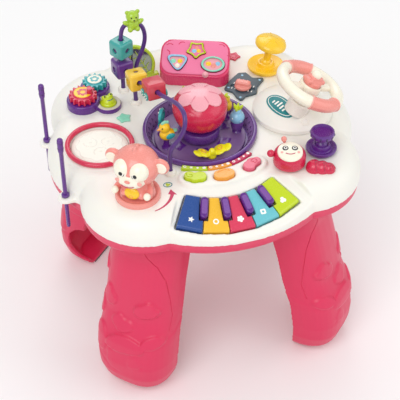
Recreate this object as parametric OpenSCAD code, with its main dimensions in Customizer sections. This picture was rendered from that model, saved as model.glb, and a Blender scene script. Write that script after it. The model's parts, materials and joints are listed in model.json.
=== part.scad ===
// Musical activity table: a lobed top shell on a tray and four boot-shaped legs, with a
// keyboard, push buttons, a drum, a carousel, gears, a bead maze, two joysticks and a wheel.
// Units are millimetres. The origin is on the floor under the table's centre, +Z is up and
// the keyboard faces -Y.

/* [Table] */
// Height of the tray's underside above the floor
leg_h = 222; // [200:1:250]
// Depth of the under tray
tray_h = 16; // [15:1:20]
// Depth of the top shell
shell_h = 32; // [30:1:40]
// Wall of the top shell and of the tray
wall = 3; // [2:0.25:3.5]
// Radius of the top shell's outer edge
edge_r = 24; // [10:1:26]
// How far the tray's rim stands in from the top shell's
tray_inset = 1.5; // [0:0.5:4]

/* [Lobes] */
// Distance from the centre to the notches between the lobes
notch_r = 170; // [168:1:190]
// How far the front and the back lobe reach beyond the notches
long_bulge = 2; // [1:0.5:8]
// How far the left and the right lobe reach beyond the notches
side_bulge = 9; // [6:0.5:16]
// How far the four corner lobes reach beyond the notches
corner_bulge = 19; // [15:0.5:28]

/* [Legs] */
// Half width of a leg at its widest
leg_half_w = 47; // [40:1:52]
// How far a leg's outer face stands out at its knee
knee_r = 197; // [188:1:202]
// How far a leg's outer face stands out under the tray
leg_top_r = 152; // [145:1:158]
// Depth of a leg from its outer face to its open side
leg_depth = 48; // [42:1:54]
// Wall of a leg
leg_wall = 3.5; // [2.5:0.25:5]
// Thickness of the pads under the feet
foot_pad_t = 2.5; // [1.5:0.5:5]

/* [Keyboard] */
// Slope of the keyboard
key_slope = 22; // [19:0.5:23]
// Distance from the front lobe's reach back to the upper end of the slope
slope_in = 60; // [58:0.5:62]
// Distance from the point where the keys' edges meet to the keys' back ends
key_r0 = 95; // [92:0.5:97]
// Length of a key
key_len = 40; // [36:1:41]
// Angle that one key takes
key_span = 12.4; // [11:0.1:12.6]
// Thickness of a key
key_t = 8; // [7:0.5:9]
// Free space under a key
key_drop = 3; // [2.8:0.1:4]
// Gap between two keys
key_gap = 1; // [0.8:0.1:1.4]
// Length of the raised sharps
sharp_len = 25; // [18:1:28]
// Width of the raised sharps
sharp_w = 8.4; // [7:0.2:9]

/* [Push buttons] */
// Height of the button plinth over the top
plinth_h = 4; // [3:0.5:6]
// How far a push button stands out of its plinth
button_proud = 3; // [2.2:0.1:5]
// Gap around a push button
button_gap = 0.4; // [0.3:0.05:0.6]

/* [Carousel] */
// Outer radius of the carousel dish
dish_r = 65; // [62:1:66]
// Height of the dish's rim over the top
dish_rim_h = 7; // [5:0.5:12]
// Depth of the dish's floor below the top
dish_floor_d = 8; // [6:1:10]
// Radius of the dome over the carousel at its widest
dome_r = 31; // [27:0.5:32]
// Height of the dome over its widest circle
dome_crown_h = 18.5; // [14:0.5:24]
// Distance from the carousel's axis to its figures
figure_r = 43; // [41:0.5:44]
// Radius of the carousel's spindle
spindle_r = 16; // [13:0.5:17]
// Radial play of a turning piece on its spindle or shaft
running_gap = 0.08; // [0.04:0.01:0.1]

/* [Drum] */
// Radius of the drum's pad
drum_pad_r = 32; // [26:1:33]
// Radius of the drum ring's section
drum_ring_t = 3; // [2.5:0.25:3.5]
// Length of a drumstick
stick_len = 126; // [110:1:150]
// Radius of a drumstick
stick_r = 2.3; // [2:0.1:2.6]

/* [Monkey] */
// Radius of the monkey's base
monkey_base_r = 24.5; // [20:0.5:26]
// Radius of the monkey's head
monkey_head_r = 24; // [20:0.5:26]
// Height of the monkey's body
monkey_body_h = 17; // [15:0.5:24]

/* [Gears] */
// Tooth module of the two gears
gear_module = 2; // [1.8:0.05:2.05]
// Thickness of a gear
gear_t = 7; // [5:0.5:9]
// Height of the gear housing
housing_h = 10; // [8:0.5:14]

/* [Bead maze] */
// Radius of the bead wires
wire_r = 2.5; // [2:0.1:2.8]
// Edge length of a cube bead
bead_w = 21; // [17:0.5:22]
// Free play of a bead around its wire
bead_play = 0.8; // [0.5:0.1:1.5]
// Height of the tall wire over the top
tall_wire_h = 92; // [90:1:100]

/* [Picture box] */
// Width of the picture box
box_w = 83; // [80:1:86]
// Depth of the picture box from front to back
box_d = 47; // [45:1:49]
// Height of the picture box at its front
box_front_h = 15; // [13:0.5:20]
// Height of the picture box at its back
box_back_h = 35; // [31:0.5:39]

/* [Joysticks] */
// Radius of the yellow joystick's cup
yellow_cup_r = 22; // [19:0.5:24]
// Radius of the purple joystick's cup
purple_cup_r = 17.5; // [15:0.5:18.5]
// Radius of a joystick's ball
ball_r = 7; // [6:0.5:8]
// Length of the yellow joystick from its ball to its cap's top
yellow_len = 36; // [32:1:42]
// Length of the purple joystick from its ball to its knob's top
purple_len = 20; // [18:1:26]

/* [Steering wheel] */
// Radius of the wheel at the middle of its rim
wheel_r = 34.5; // [31:0.5:36]
// Radius of the rim's section
rim_t = 7; // [5:0.5:7.5]
// Lean of the wheel's shaft from the vertical
wheel_lean = 25; // [18:1:30]
// Height of the white console dome
console_h = 24; // [20:1:28]
// Radius of the console dome
console_r = 46; // [42:0.5:46.5]
// Height of the console's side wall
console_side_h = 6; // [3:0.5:9]
// Length of the wheel's shaft from the console to the wheel
shaft_len = 32; // [30:1:40]

/* [Worm] */
// Radius of the worm's head
worm_r = 18; // [15:0.5:18.5]
// Height of the worm's head
worm_h = 19; // [17:0.5:24]

/* [Hidden] */
$fn = 64;
eps = 0.01;
seam_z = leg_h + tray_h;
top_z = seam_z + shell_h;
long_reach = notch_r + long_bulge;
side_reach = notch_r + side_bulge;
corner_reach = notch_r + corner_bulge;
slope_y = long_reach - slope_in;

// Half angles that the lobes take, seen from the centre
long_half = 28.6;
side_half = 21.4;
corner_half = (180 - long_half - side_half - 90) / 2;
corner_mid = side_half + corner_half;
// Radius of a lobe's circle, from its reach and the two notches that it passes through
function lobe_r(reach, half) =
    let (chord = notch_r * sin(half), rise = reach - notch_r * cos(half))
    (chord * chord + rise * rise) / (2 * rise);
// Each lobe: its direction, the distance to its circle's centre and the circle's radius
function lobe(a, reach, half) = [a, reach - lobe_r(reach, half), lobe_r(reach, half)];
LOBES = concat(
    [for (a = [-90, 90]) lobe(a, long_reach, long_half)],
    [for (a = [0, 180]) lobe(a, side_reach, side_half)],
    [for (a = [-1, 1], b = [0, 180]) lobe(b + a * corner_mid, corner_reach, corner_half)]
);

function polar(r, a) = [r * cos(a), r * sin(a)];

// Places on the top, as distance from the centre and direction. What stands near the edge
// keeps its distance from the notches.
dish_pos = polar(17, -114);
drum_pos = polar(notch_r - 48, 184.5);
monkey_pos = polar(notch_r - 29, -136);
red_gear_pos = polar(notch_r - 29, 149.5);
yellow_joy_pos = polar(notch_r - 39, 36.5);
purple_joy_pos = polar(notch_r - 28, -38.5);
console_pos = polar(notch_r - 63, -6);
worm_pos = polar(notch_r - 49, -55);
box_pos = polar(notch_r - 77.4, 77.5);
track_pos = polar(notch_r - 90, 35);

// Stations and their directions
monkey_face_a = -127;
box_turn = -22;
teal_gear_a = 48;
wheel_turn = -9;

// A child set on the top at a place
module on_top(p, dz = 0) translate([p[0], p[1], top_z + dz]) children();

// Half section of a disc with a round upper edge
module round_section(r, h, e) {
    square([r - e, h]);
    square([r, h - e]);
    intersection() {
        translate([r - e, h - e]) circle(e);
        square([r, h]);
    }
}

module round_disc(r, h, e) rotate_extrude() round_section(r, h, e);

module ring(r_out, r_in, h) {
    difference() {
        cylinder(r = r_out, h = h);
        translate([0, 0, -1]) cylinder(r = r_in, h = h + 2);
    }
}

// The lobes drawn in by an amount, as one solid with round edges
module lobes(inset, h, e) {
    for (l = LOBES)
        rotate(l[0]) translate([l[1], 0, 0]) round_disc(l[2] - inset, h, e);
}

// ---- Keyboard frame: origin at the slope's upper end, -Y down the slope
key_axis_x = -4.5;
fan_half = key_span * 2.5;
key_apex = key_r0 * cos(fan_half) - 1.5;
key_proud = 2;
well_d = key_t - key_proud + key_drop;
well_gap = 1.5;
key_angles = [for (i = [0:4]) (i - 2) * key_span];
sharp_angles = [for (i = [0:3]) (i - 1.5) * key_span];

module on_slope() translate([key_axis_x, -slope_y, top_z]) rotate([key_slope, 0, 0]) children();

// A child turned about the point where the keys' edges meet
module on_key(a) translate([0, key_apex, 0]) rotate(a) children();

// The fan that the keys take, grown by an amount, from z0 up to z1
module key_fan(grow, z0, z1) {
    side = well_gap + grow;
    edges = [for (i = [-2.5:2.5]) i * key_span];
    function corner(r, a) = polar(r, a - 90) + (abs(a) == fan_half ? [sign(a) * side, 0] : [0, 0]);
    translate([0, key_apex, z0]) linear_extrude(z1 - z0)
        polygon(concat(
            [for (a = edges) corner(key_r0 - side, a)],
            [for (a = edges) corner(key_r0 + key_len + side, -a)]
        ));
}

// Everything above the sloped face in front, sunk by an amount
module slope_cut(sink) {
    spread = long_half + 0.5 * sink;
    intersection() {
        on_slope() translate([-200, -150, -sink]) cube([400, 180, 80]);
        translate([0, 0, seam_z]) linear_extrude(shell_h + 1)
            polygon([[0, 0], polar(260, -90 - spread), polar(260, -90 + spread)]);
    }
}

// ---- Screws that join the tray to the top shell, and the legs to the tray
boss_places = [[140, 14], [126, -50], [52, 134], [-52, 134], [-134, 42], [-126, -56]];
leg_screw_y = 20;
leg_angles = [45, 135, 225, 315];
screw_r = 1.6;
head_r = 3.6;
head_h = 2.6;
head_recess = 7;
shank_h = 12;

module top_shell() {
    color("ivory") {
        difference() {
            union() {
                difference() {
                    translate([0, 0, seam_z]) lobes(0, shell_h, edge_r);
                    slope_cut(0);
                    difference() {
                        translate([0, 0, seam_z - 1]) lobes(wall, shell_h + 1 - wall, edge_r - wall);
                        slope_cut(wall);
                        on_slope() key_fan(wall, -well_d - wall, 5);
                        for (p = boss_places)
                            translate([p[0], p[1], seam_z]) cylinder(r = 5, h = shell_h);
                    }
                }
                button_plinth();
                on_top(drum_pos) ring(drum_rim_r + 4, drum_rim_r - drum_ring_t, 1.5);
                for (s = [-1, 1]) stick_tab(s);
            }
            on_slope() key_fan(0, -well_d, 20);
            for (p = boss_places)
                translate([p[0], p[1], seam_z - 1]) cylinder(r = screw_r + 0.02, h = shank_h);
            on_top(dish_pos, -wall - 1) cylinder(r = dish_barrel_r + 0.2, h = wall + 10);
            on_top(drum_pos, -wall - 1) cylinder(r = drum_pad_r + button_gap, h = wall + 8);
            for (b = BUTTONS) on_button(b) {
                translate([0, 0, -20]) linear_extrude(40) button_outline(b[1], button_gap);
                translate([0, 0, -20]) linear_extrude(20 - wall) button_outline(b[1], flange_w + 0.6);
            }
            on_top(worm_pos, -wall - 1) cylinder(r = worm_stem_r + button_gap, h = wall + 8);
            for (s = [-1, 1]) translate([stick_x, s * stick_y, 0])
                cylinder(r = stick_r + 0.6, h = top_z + 20);
        }
    }
}

// ---- Under tray
bay_pos = [4, 52];
bay_w = 62;
bay_d = 50;
bay_wall = 2;
cover_t = 2.4;
cover_gap = 0.3;
cell_r = 7.1;
cell_len = 49;
bay_h = cover_t + 2 * cell_r + 1;
speaker_pos = [-62, 10];
speaker_r = 24;
switch_pos = [62, 52];
switch_slot = [16, 6];
board_pos = [52, -10];
board_w = 60;
board_d = 44;
post_h = 6;

module under_tray() {
    color("crimson") {
        difference() {
            union() {
                difference() {
                    translate([0, 0, seam_z]) mirror([0, 0, 1]) lobes(tray_inset, tray_h, 9);
                    translate([0, 0, seam_z + 1]) mirror([0, 0, 1])
                        lobes(tray_inset + wall, tray_h + 1 - wall, 9 - wall);
                }
                for (p = boss_places)
                    translate([p[0], p[1], leg_h + 1]) cylinder(r = 5, h = tray_h - 1);
                leg_screws() translate([0, 0, leg_h + 1]) cylinder(r = 4.5, h = shank_h - 1);
                translate([bay_pos[0], bay_pos[1], leg_h + (bay_h + bay_wall + 1) / 2])
                    cube([bay_w + 2 * bay_wall, bay_d + 2 * bay_wall, bay_h + bay_wall - 1], center = true);
                for (x = [-1, 1], y = [-1, 1])
                    translate([board_pos[0] + x * (board_w / 2 - 4), board_pos[1] + y * (board_d / 2 - 4),
                        leg_h + 1]) cylinder(r = 3, h = wall - 1 + post_h);
            }
            for (p = boss_places) translate([p[0], p[1], leg_h - 1]) {
                cylinder(r = head_r + 0.3, h = head_recess + 1);
                cylinder(r = screw_r + 0.3, h = tray_h + 2);
            }
            leg_screws() translate([0, 0, leg_h - 1]) cylinder(r = screw_r + 0.02, h = shank_h - 2);
            translate([bay_pos[0], bay_pos[1], leg_h]) cube([bay_w, bay_d, 2 * bay_h], center = true);
            for (i = [-2:2], j = [-2:2])
                if (i * i + j * j < 6)
                    translate([speaker_pos[0] + i * 8, speaker_pos[1] + j * 8, leg_h - 1])
                        cylinder(r = 2, h = wall + 2);
            translate([switch_pos[0], switch_pos[1], leg_h])
                cube([switch_slot[0], switch_slot[1], 3 * wall], center = true);
        }
    }
}

module leg_screws() {
    for (a = leg_angles, s = [-1, 1])
        rotate(a) translate([leg_top_r - leg_depth / 2, s * leg_screw_y, 0]) children();
}

// ---- Legs: levels from the foot up, as height, outer reach, depth and half width
LEVELS = [
    [foot_pad_t, knee_r - 22, leg_depth - 18, leg_half_w - 17],
    [foot_pad_t + 4, knee_r - 14, leg_depth - 11, leg_half_w - 11],
    [foot_pad_t + 13, knee_r - 5, leg_depth - 4, leg_half_w - 5],
    [foot_pad_t + 28, knee_r - 0.5, leg_depth - 1, leg_half_w - 1],
    [leg_h * 0.22, knee_r, leg_depth, leg_half_w],
    [leg_h * 0.36, knee_r - 5, leg_depth, leg_half_w],
    [leg_h * 0.5, (knee_r * 1.35 + leg_top_r) / 2.35, leg_depth - 1, leg_half_w - 1],
    [leg_h * 0.66, (knee_r * 0.62 + leg_top_r) / 1.62, leg_depth - 1, leg_half_w - 2],
    [leg_h * 0.84, (knee_r * 0.15 + leg_top_r) / 1.15, leg_depth, leg_half_w - 2],
    [leg_h, leg_top_r, leg_depth + 2, leg_half_w - 1]
];
ARCH_N = 18;
ARCH_POWER = 0.7;
// An arch that bulges towards +X, from its feet at -Y and +Y, drawn in by an amount
function arch(l, inset) = [
    for (i = [0:ARCH_N]) let (a = -90 + 180 * i / ARCH_N)
        [l[1] - l[2] + (l[2] - inset) * pow(max(cos(a), 0), ARCH_POWER),
         (l[3] - inset) * sign(sin(a)) * pow(abs(sin(a)), ARCH_POWER)]
];
function reversed(v) = [for (i = [len(v) - 1:-1:0]) v[i]];
function leg_ring(l) = [
    for (p = concat(arch(l, 0), reversed(arch(l, leg_wall)))) [p[0], p[1], l[0]]
];
LEG_RINGS = [for (l = LEVELS) leg_ring(l)];
ring_n = len(LEG_RINGS[0]);

// The open shell of a leg, as rings joined by facets
module leg_shell() {
    pts = [for (r = LEG_RINGS, p = r) p];
    sides = [
        for (k = [0:len(LEVELS) - 2], i = [0:ring_n - 1])
            let (a = k * ring_n + i, b = k * ring_n + (i + 1) % ring_n)
            each [[a, a + ring_n, b + ring_n], [a, b + ring_n, b]]
    ];
    top = (len(LEVELS) - 1) * ring_n;
    caps = [
        for (i = [0:ARCH_N - 1])
            let (j = ring_n - 1 - i)
            each [[i, i + 1, j - 1, j], [top + j, top + j - 1, top + i + 1, top + i]]
    ];
    polyhedron(pts, concat(sides, caps));
}

// A plate across a leg at one of its levels
module leg_plate(l, z, t) {
    translate([0, 0, z]) linear_extrude(t) polygon(arch(l, leg_wall / 2));
}

plate_t = 4;
module leg() {
    difference() {
        union() {
            leg_shell();
            leg_plate(LEVELS[0], foot_pad_t, 3);
            leg_plate(LEVELS[len(LEVELS) - 1], leg_h - plate_t, plate_t);
        }
        for (s = [-1, 1]) translate([leg_top_r - leg_depth / 2, s * leg_screw_y, leg_h - 10])
            cylinder(r = screw_r + 0.3, h = 20);
    }
}

module front_legs() {
    color("crimson") for (a = [225, 315]) rotate(a) leg();
}

// The rear legs are cut away on their inner side, above the foot
hook_r = 30;
module rear_legs() {
    color("crimson") for (a = [45, 135]) rotate(a) difference() {
        leg();
        translate([knee_r - leg_depth - 6, 0, foot_pad_t + hook_r + 10]) rotate([90, 0, 0])
            cylinder(r = hook_r, h = 200, center = true);
    }
}

module foot_pads() {
    color("dimgray") for (a = leg_angles) rotate(a)
        linear_extrude(foot_pad_t) polygon(arch(LEVELS[0], 3));
}

module case_screws() {
    color("silver") {
        for (p = boss_places) translate([p[0], p[1], leg_h + head_recess]) screw(shank_h + tray_h - head_recess - 3);
        leg_screws() translate([0, 0, leg_h - plate_t]) screw(shank_h);
    }
}

// A screw with its shank up from the origin and its head below it
module screw(len) {
    difference() {
        union() {
            translate([0, 0, -head_h]) cylinder(r = head_r, h = head_h);
            translate([0, 0, -1]) cylinder(r = screw_r, h = len + 1);
        }
        translate([0, 0, -head_h - 1]) cylinder(r = 1.2, h = 2.4, $fn = 6);
    }
}

module battery_cover() {
    color("crimson") translate([bay_pos[0], bay_pos[1], leg_h]) difference() {
        translate([0, 0, cover_t / 2])
            cube([bay_w - 2 * cover_gap, bay_d - 2 * cover_gap, cover_t], center = true);
        for (y = [-1, 1]) translate([0, y * (bay_d / 2 - 7), -1]) cylinder(r = 2, h = 1.8);
    }
}

module batteries() {
    color("goldenrod") for (i = [-1:1])
        translate([bay_pos[0] - cell_len / 2 - 1, bay_pos[1] + i * (2 * cell_r + 0.6), leg_h + cover_t + cell_r + 0.1])
            rotate([0, 90, 0]) {
                cylinder(r = cell_r, h = cell_len);
                translate([0, 0, cell_len - 1]) cylinder(r = 2.7, h = 2.3);
            }
}

module speaker() {
    color("dimgray") translate([speaker_pos[0], speaker_pos[1], leg_h + wall]) {
        difference() {
            cylinder(r = speaker_r, h = 4);
            translate([0, 0, -1]) cylinder(r1 = speaker_r - 2, r2 = speaker_r - 12, h = 4);
        }
        translate([0, 0, 4 - eps]) cylinder(r = speaker_r - 10, h = 7);
    }
}

module main_board() {
    color("seagreen") translate([board_pos[0], board_pos[1], leg_h + wall + post_h]) {
        translate([-board_w / 2, -board_d / 2, 0]) cube([board_w, board_d, 1.6]);
        translate([-12, -8, 1.6 - eps]) cube([20, 16, 3]);
        for (x = [-22, 14, 22]) translate([x, 14, 1.6 - eps]) cylinder(r = 3, h = 6);
    }
}

module power_switch() {
    color("black") translate([switch_pos[0] - 3, switch_pos[1], leg_h]) {
        translate([-3, -switch_slot[1] / 2 + 0.3, -1]) cube([6, switch_slot[1] - 0.6, wall + 1.5]);
        translate([-5, -6, wall + 0.3]) cube([10, 12, 3]);
    }
}

// ---- Keys
front_round = 3.5;
neck_cut = sharp_w / 2 + 0.8;

module key(i) {
    a = key_angles[i];
    on_slope() difference() {
        on_key(a) intersection() {
            translate([0, 0, key_proud - key_t]) linear_extrude(key_t) key_outline();
            translate([-40, 0, 0]) rotate([90, 0, 90]) linear_extrude(80) key_profile();
        }
        for (s = sharp_angles)
            if (abs(s - a) < key_span)
                on_key(s) translate([0, -key_r0 - sharp_len / 2, 0])
                    cube([2 * neck_cut, sharp_len + 4, 40], center = true);
    }
}

// A key seen from above, as a slice of the fan
module key_outline() {
    half = key_span / 2;
    g = key_gap / 2;
    polygon([
        polar(key_r0, -90 - half) + [g, 0], polar(key_r0 + key_len, -90 - half) + [g, 0],
        polar(key_r0 + key_len, -90 + half) - [g, 0], polar(key_r0, -90 + half) - [g, 0]
    ]);
}

// A key seen from the side, with its front end rounded
module key_profile() {
    front = -(key_r0 + key_len) * cos(key_span / 2);
    low = key_proud - key_t - 1;
    translate([front + front_round, key_proud - front_round]) circle(front_round);
    translate([front, low]) square([key_len + 2, key_t + 1 - front_round]);
    translate([front + front_round, low]) square([key_len + 2 - front_round, key_t + 1]);
}

module key_navy() { color("midnightblue") key(0); }
module key_yellow() { color("gold") key(1); }
module key_pink() { color("crimson") key(2); }
module key_teal() { color("mediumturquoise") key(3); }
module key_lime() { color("yellowgreen") key(4); }

// The raised sharps stand on the floor of the well
module sharp_keys() {
    color("rebeccapurple") on_slope() for (s = sharp_angles) on_key(s)
        translate([0, -key_r0, -well_d]) {
            for (y = [-sharp_w / 2, -sharp_len + sharp_w / 2])
                translate([0, y, 0]) round_disc(sharp_w / 2, well_d + 6, 1.5);
            translate([0, -sharp_len / 2, 0]) rotate([90, 0, 0])
                linear_extrude(sharp_len - sharp_w, center = true) sharp_section();
        }
}

module sharp_section() {
    h = well_d + 6;
    e = 1.5;
    translate([-sharp_w / 2, 0]) square([sharp_w, h - e]);
    translate([-sharp_w / 2 + e, 0]) square([sharp_w - 2 * e, h]);
    for (s = [-1, 1]) translate([s * (sharp_w / 2 - e), h - e]) circle(e);
}

// ---- Push buttons on the arched plinth in front of the dish
plinth_r = dish_r + 19;
plinth_half_w = 12;
plinth_ends = [-115.5, -59.5];
plinth_root = 6;
// How far a flange reaches out under the top, its thickness and its play
flange_w = 1.4;
flange_t = 1.6;
flange_gap = 0.1;
BUTTONS = [[-111, "bean"], [-89, "oval"], [-65, "swirl"]];

module on_button(b) {
    on_top(dish_pos) rotate(b[0] + 90) translate([0, -plinth_r, 0]) children();
}

// Outline of a button, grown by an amount
module button_outline(shape, grow) {
    if (shape == "oval") {
        for (x = [-5, 0, 5]) translate([x, 0]) circle((abs(x) > 0 ? 6.6 : 8) + grow);
    }
    if (shape == "bean") {
        translate([-5.5, 0.8]) circle(6 + grow);
        translate([0.5, -1.2]) circle(6.4 + grow);
        translate([6, 0.8]) circle(6.6 + grow);
    }
    if (shape == "swirl") {
        translate([-4.5, -1]) circle(6.8 + grow);
        translate([2, 1]) circle(6.4 + grow);
        translate([7, 0]) circle(5 + grow);
    }
}

module button_plinth() {
    on_top(dish_pos, -plinth_root) linear_extrude(plinth_h + plinth_root) {
        intersection() {
            difference() {
                circle(plinth_r + plinth_half_w);
                circle(plinth_r - plinth_half_w);
            }
            polygon([
                [0, 0], polar(150, plinth_ends[0]), polar(150, BUTTONS[1][0]), polar(150, plinth_ends[1])
            ]);
        }
        for (a = plinth_ends) rotate(a) translate([plinth_r, 0]) circle(plinth_half_w - 0.4);
    }
}

// A push button, held down by the flange under the top
module push_button(b) {
    low = -wall - flange_gap - flange_t;
    on_button(b) translate([0, 0, low]) {
        linear_extrude(plinth_h + button_proud - low) button_outline(b[1], 0);
        linear_extrude(flange_t) button_outline(b[1], flange_w);
    }
}

module button_lime() { color("yellowgreen") push_button(BUTTONS[0]); }
module button_orange() { color("orange") push_button(BUTTONS[1]); }
module button_pink() { color("hotpink") push_button(BUTTONS[2]); }

// ---- Carousel
dish_barrel_r = dish_r - 7;
dish_wall_r = dish_r - 5;
dish_floor_r = dish_r - 10;
dish_floor_t = 3;
dish_side_t = 1.8;
floor_z = -dish_floor_d;
table_t = 2.5;
post_top = 14;
spindle_top = 10;
neck_r = spindle_r - 3.5;
// The collar over the turntable, around the spindle
collar_r = 22.5;
collar_z = floor_z + table_t + 3;
// The dome's widest circle and its lower end, from the top
dome_z = 37;
dome_low_z = spindle_top + 5;
dome_low_r = 20;

module carousel_dish() {
    color("rebeccapurple") on_top(dish_pos) {
        rotate_extrude() polygon([
            [spindle_r - 0.01, floor_z], [dish_floor_r, floor_z],
            [dish_barrel_r - dish_side_t, 0], [dish_wall_r, dish_rim_h - 2],
            [dish_wall_r + 0.6, dish_rim_h], [dish_r - 1, dish_rim_h], [dish_r, dish_rim_h - 1.5],
            [dish_r, 0], [dish_barrel_r, 0], [dish_barrel_r, floor_z - dish_floor_t],
            [spindle_r - 0.01, floor_z - dish_floor_t]
        ]);
        translate([0, 0, floor_z - dish_floor_t]) ring(spindle_r, neck_r + running_gap,
            spindle_top - floor_z + dish_floor_t);
        translate([0, 0, collar_z]) ring(collar_r, spindle_r - 1, spindle_top - 1 - collar_z);
    }
}

FIGURE_ANGLES = [192, 160, 96, 30, -6];
// The figures are drawn small and grown by this much
figure_k = 1.25;
module turntable() {
    color("mediumpurple") on_top(dish_pos, floor_z + 0.3) {
        ring(dish_floor_r - 3, spindle_r + running_gap, table_t);
        for (a = FIGURE_ANGLES) rotate(a) translate([figure_r, 0, 0])
            cylinder(r = 3, h = post_top);
    }
}

module on_post(i) {
    on_top(dish_pos, floor_z + 0.3 + post_top) rotate(FIGURE_ANGLES[i])
        translate([figure_r, 0, 0]) scale(figure_k) children();
}

// Five little animals and fruits on the posts, and a butterfly on the turntable
module carousel_figures() {
    color("gold") on_post(0) bird();
    color("teal") on_post(1) hoop_figure();
    color("mediumaquamarine") on_post(2) bird();
    color("gold") on_post(3) pear_figure();
    color("skyblue") on_post(4) fruit_figure();
    color("yellow") on_top(dish_pos, floor_z + 0.3 + table_t) rotate(-88)
        translate([figure_r - 2, 0, 0]) scale(figure_k) butterfly();
}

module bird() {
    translate([0, 0, 6]) sphere(6.5);
    translate([1, 0, 14.5]) sphere(5);
    translate([4, 0, 14.5]) rotate([0, 90, 0]) cylinder(r1 = 2, r2 = 0.4, h = 5);
    translate([-7.5, 0, 8]) rotate([0, -60, 0]) cylinder(r1 = 3, r2 = 1.2, h = 6, center = true);
}

module hoop_figure() {
    translate([0, 0, 1]) cylinder(r = 3.5, h = 12);
    translate([0, 0, 12]) rotate([90, 0, 90]) rotate_extrude() translate([5.5, 0]) circle(1.6);
    translate([0, 0, 0.5]) sphere(4.5);
}

module pear_figure() {
    translate([0, 0, 6]) sphere(6.5);
    translate([0, 0, 13]) sphere(4.6);
}

module fruit_figure() {
    translate([0, 0, 7]) sphere(7);
    translate([0, 0, 12]) cylinder(r1 = 5, r2 = 2, h = 4);
    for (a = [0:72:288]) rotate(a) translate([1.5, 0, 13]) rotate([0, 30, 0])
        cylinder(r1 = 2, r2 = 0.5, h = 8);
}

module butterfly() {
    for (s = [-1, 1]) {
        translate([0, s * 7, 5]) rotate([s * 20, 0, 0]) cylinder(r = 6, h = 3, center = true);
        translate([0, s * 14, 7]) rotate([s * 20, 0, 0]) cylinder(r = 4.5, h = 3, center = true);
    }
    cylinder(r = 4, h = 9);
}

// The dome's crown as an arc from its top down to its widest circle, grown by an amount
function crown(grow) = [
    for (i = [0:18]) let (a = 90 - 5 * i) [(dome_r + grow) * cos(a), (dome_crown_h + grow) * sin(a)]
];
// The dome's lower half bulges from its lower end up to its widest circle
dome_skirt = [
    for (i = [1:12]) let (a = 90 * i / 12, h = dome_z - dome_low_z)
        [dome_low_r + (dome_r - dome_low_r) * cos(a), -h * sin(a)]
];

module dome() {
    color("crimson") on_top(dish_pos) {
        translate([0, 0, dome_z]) rotate_extrude()
            polygon(concat(crown(0), dome_skirt, [[0, dome_low_z - dome_z]]));
        translate([0, 0, -4]) cylinder(r = neck_r, h = dome_low_z + 8);
    }
}

module petals(r) {
    circle(r * 0.7);
    for (i = [0:5]) rotate(60 * i + 12.7) translate([r * 0.62, 0]) circle(r * 0.38);
}

module dome_cap() {
    color("pink") on_top(dish_pos, dome_z) intersection() {
        rotate_extrude() polygon(concat(crown(1.6), [[dome_r, 0]], [for (i = [17:-1:0]) crown(0)[i]]));
        linear_extrude(60) petals(dome_r * 0.84);
    }
}

// ---- Drum and its sticks
drum_rim_r = drum_pad_r + 4;
stick_x = -side_reach + 7.5;
stick_y = 50;
tab_r = 9;
tab_t = 5.5;
stick_collar_h = 3.5;

// The tab on the shell's edge that holds a drumstick
module stick_tab(s) {
    translate([stick_x, s * stick_y, seam_z + 2]) {
        cylinder(r = tab_r, h = tab_t);
        translate([0, 0.2 - tab_r, 0]) cube([18, 2 * tab_r - 0.4, tab_t]);
    }
}

module drum_ring() {
    color("crimson") on_top(drum_pos, 1.5 + drum_ring_t) rotate_extrude()
        translate([drum_rim_r, 0]) circle(drum_ring_t);
}

module drum_pad() {
    low = -wall - flange_gap - flange_t;
    color("ivory") on_top(drum_pos) {
        translate([0, 0, low]) cylinder(r = drum_pad_r, h = 2 - low);
        translate([0, 0, 2 - eps]) cylinder(r1 = drum_pad_r - 1, r2 = drum_pad_r - 6, h = 1.2);
        translate([0, 0, low]) cylinder(r = drum_pad_r + 2, h = flange_t);
    }
}

module drumstick() {
    rest_z = seam_z + 2 + tab_t;
    low = rest_z - stick_len * 0.36;
    translate([0, 0, low]) cylinder(r = stick_r, h = stick_len - 8);
    translate([0, 0, low + stick_len - 18]) round_disc(stick_r + 1, 18, 2.5);
    translate([0, 0, rest_z + 0.1]) cylinder(r = stick_r + 2, h = stick_collar_h);
}

module drumstick_front() { color("indigo") translate([stick_x, -stick_y, 0]) drumstick(); }
module drumstick_rear() { color("indigo") translate([stick_x, stick_y, 0]) drumstick(); }

// ---- Monkey on its turning base
monkey_base_h = 6;
monkey_shaft_r = 7;

module monkey_base() {
    color("ivory") on_top(monkey_pos) difference() {
        round_disc(monkey_base_r, monkey_base_h, 2);
        translate([0, 0, 1.5]) cylinder(r = monkey_shaft_r + running_gap, h = 20);
    }
}

module monkey() {
    color("salmon") on_top(monkey_pos, monkey_base_h) rotate(monkey_face_a) {
        translate([0, 0, -4]) cylinder(r = monkey_shaft_r, h = 8);
        translate([0, 0, 0.4]) rotate_extrude() {
            square([16, 4]);
            translate([0, 4]) square([17, monkey_body_h - 14]);
            translate([0, monkey_body_h - 10]) square([15, 6]);
            translate([0, monkey_body_h - 4]) square([12, 8]);
        }
        translate([0, 0, monkey_body_h + monkey_head_r - 6]) {
            sphere(monkey_head_r);
            for (s = [-1, 1]) {
                translate([-2, s * (monkey_head_r + 3), 6]) rotate([0, 90, 0])
                    cylinder(r = 9, h = 6, center = true);
            }
            translate([monkey_head_r - 8, 0, -6]) sphere(12);
        }
        for (s = [-1, 1]) translate([6, s * 16, monkey_body_h * 0.6]) rotate([s * 35, 20, 0])
            cylinder(r = 4.5, h = 16, center = true);
        for (s = [-1, 1]) translate([13, s * 9, 4.9]) sphere(4.4);
    }
}

// ---- Gears: the red one drives the teal one
RED_TEETH = 15;
TEAL_TEETH = 13;
gear_dist = gear_module * (RED_TEETH + TEAL_TEETH) / 2 + 0.3;
teal_gear_pos = red_gear_pos + polar(gear_dist, teal_gear_a);
critter_pos = red_gear_pos + polar(gear_dist + 1, -22);
axle_r = 4;

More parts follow.
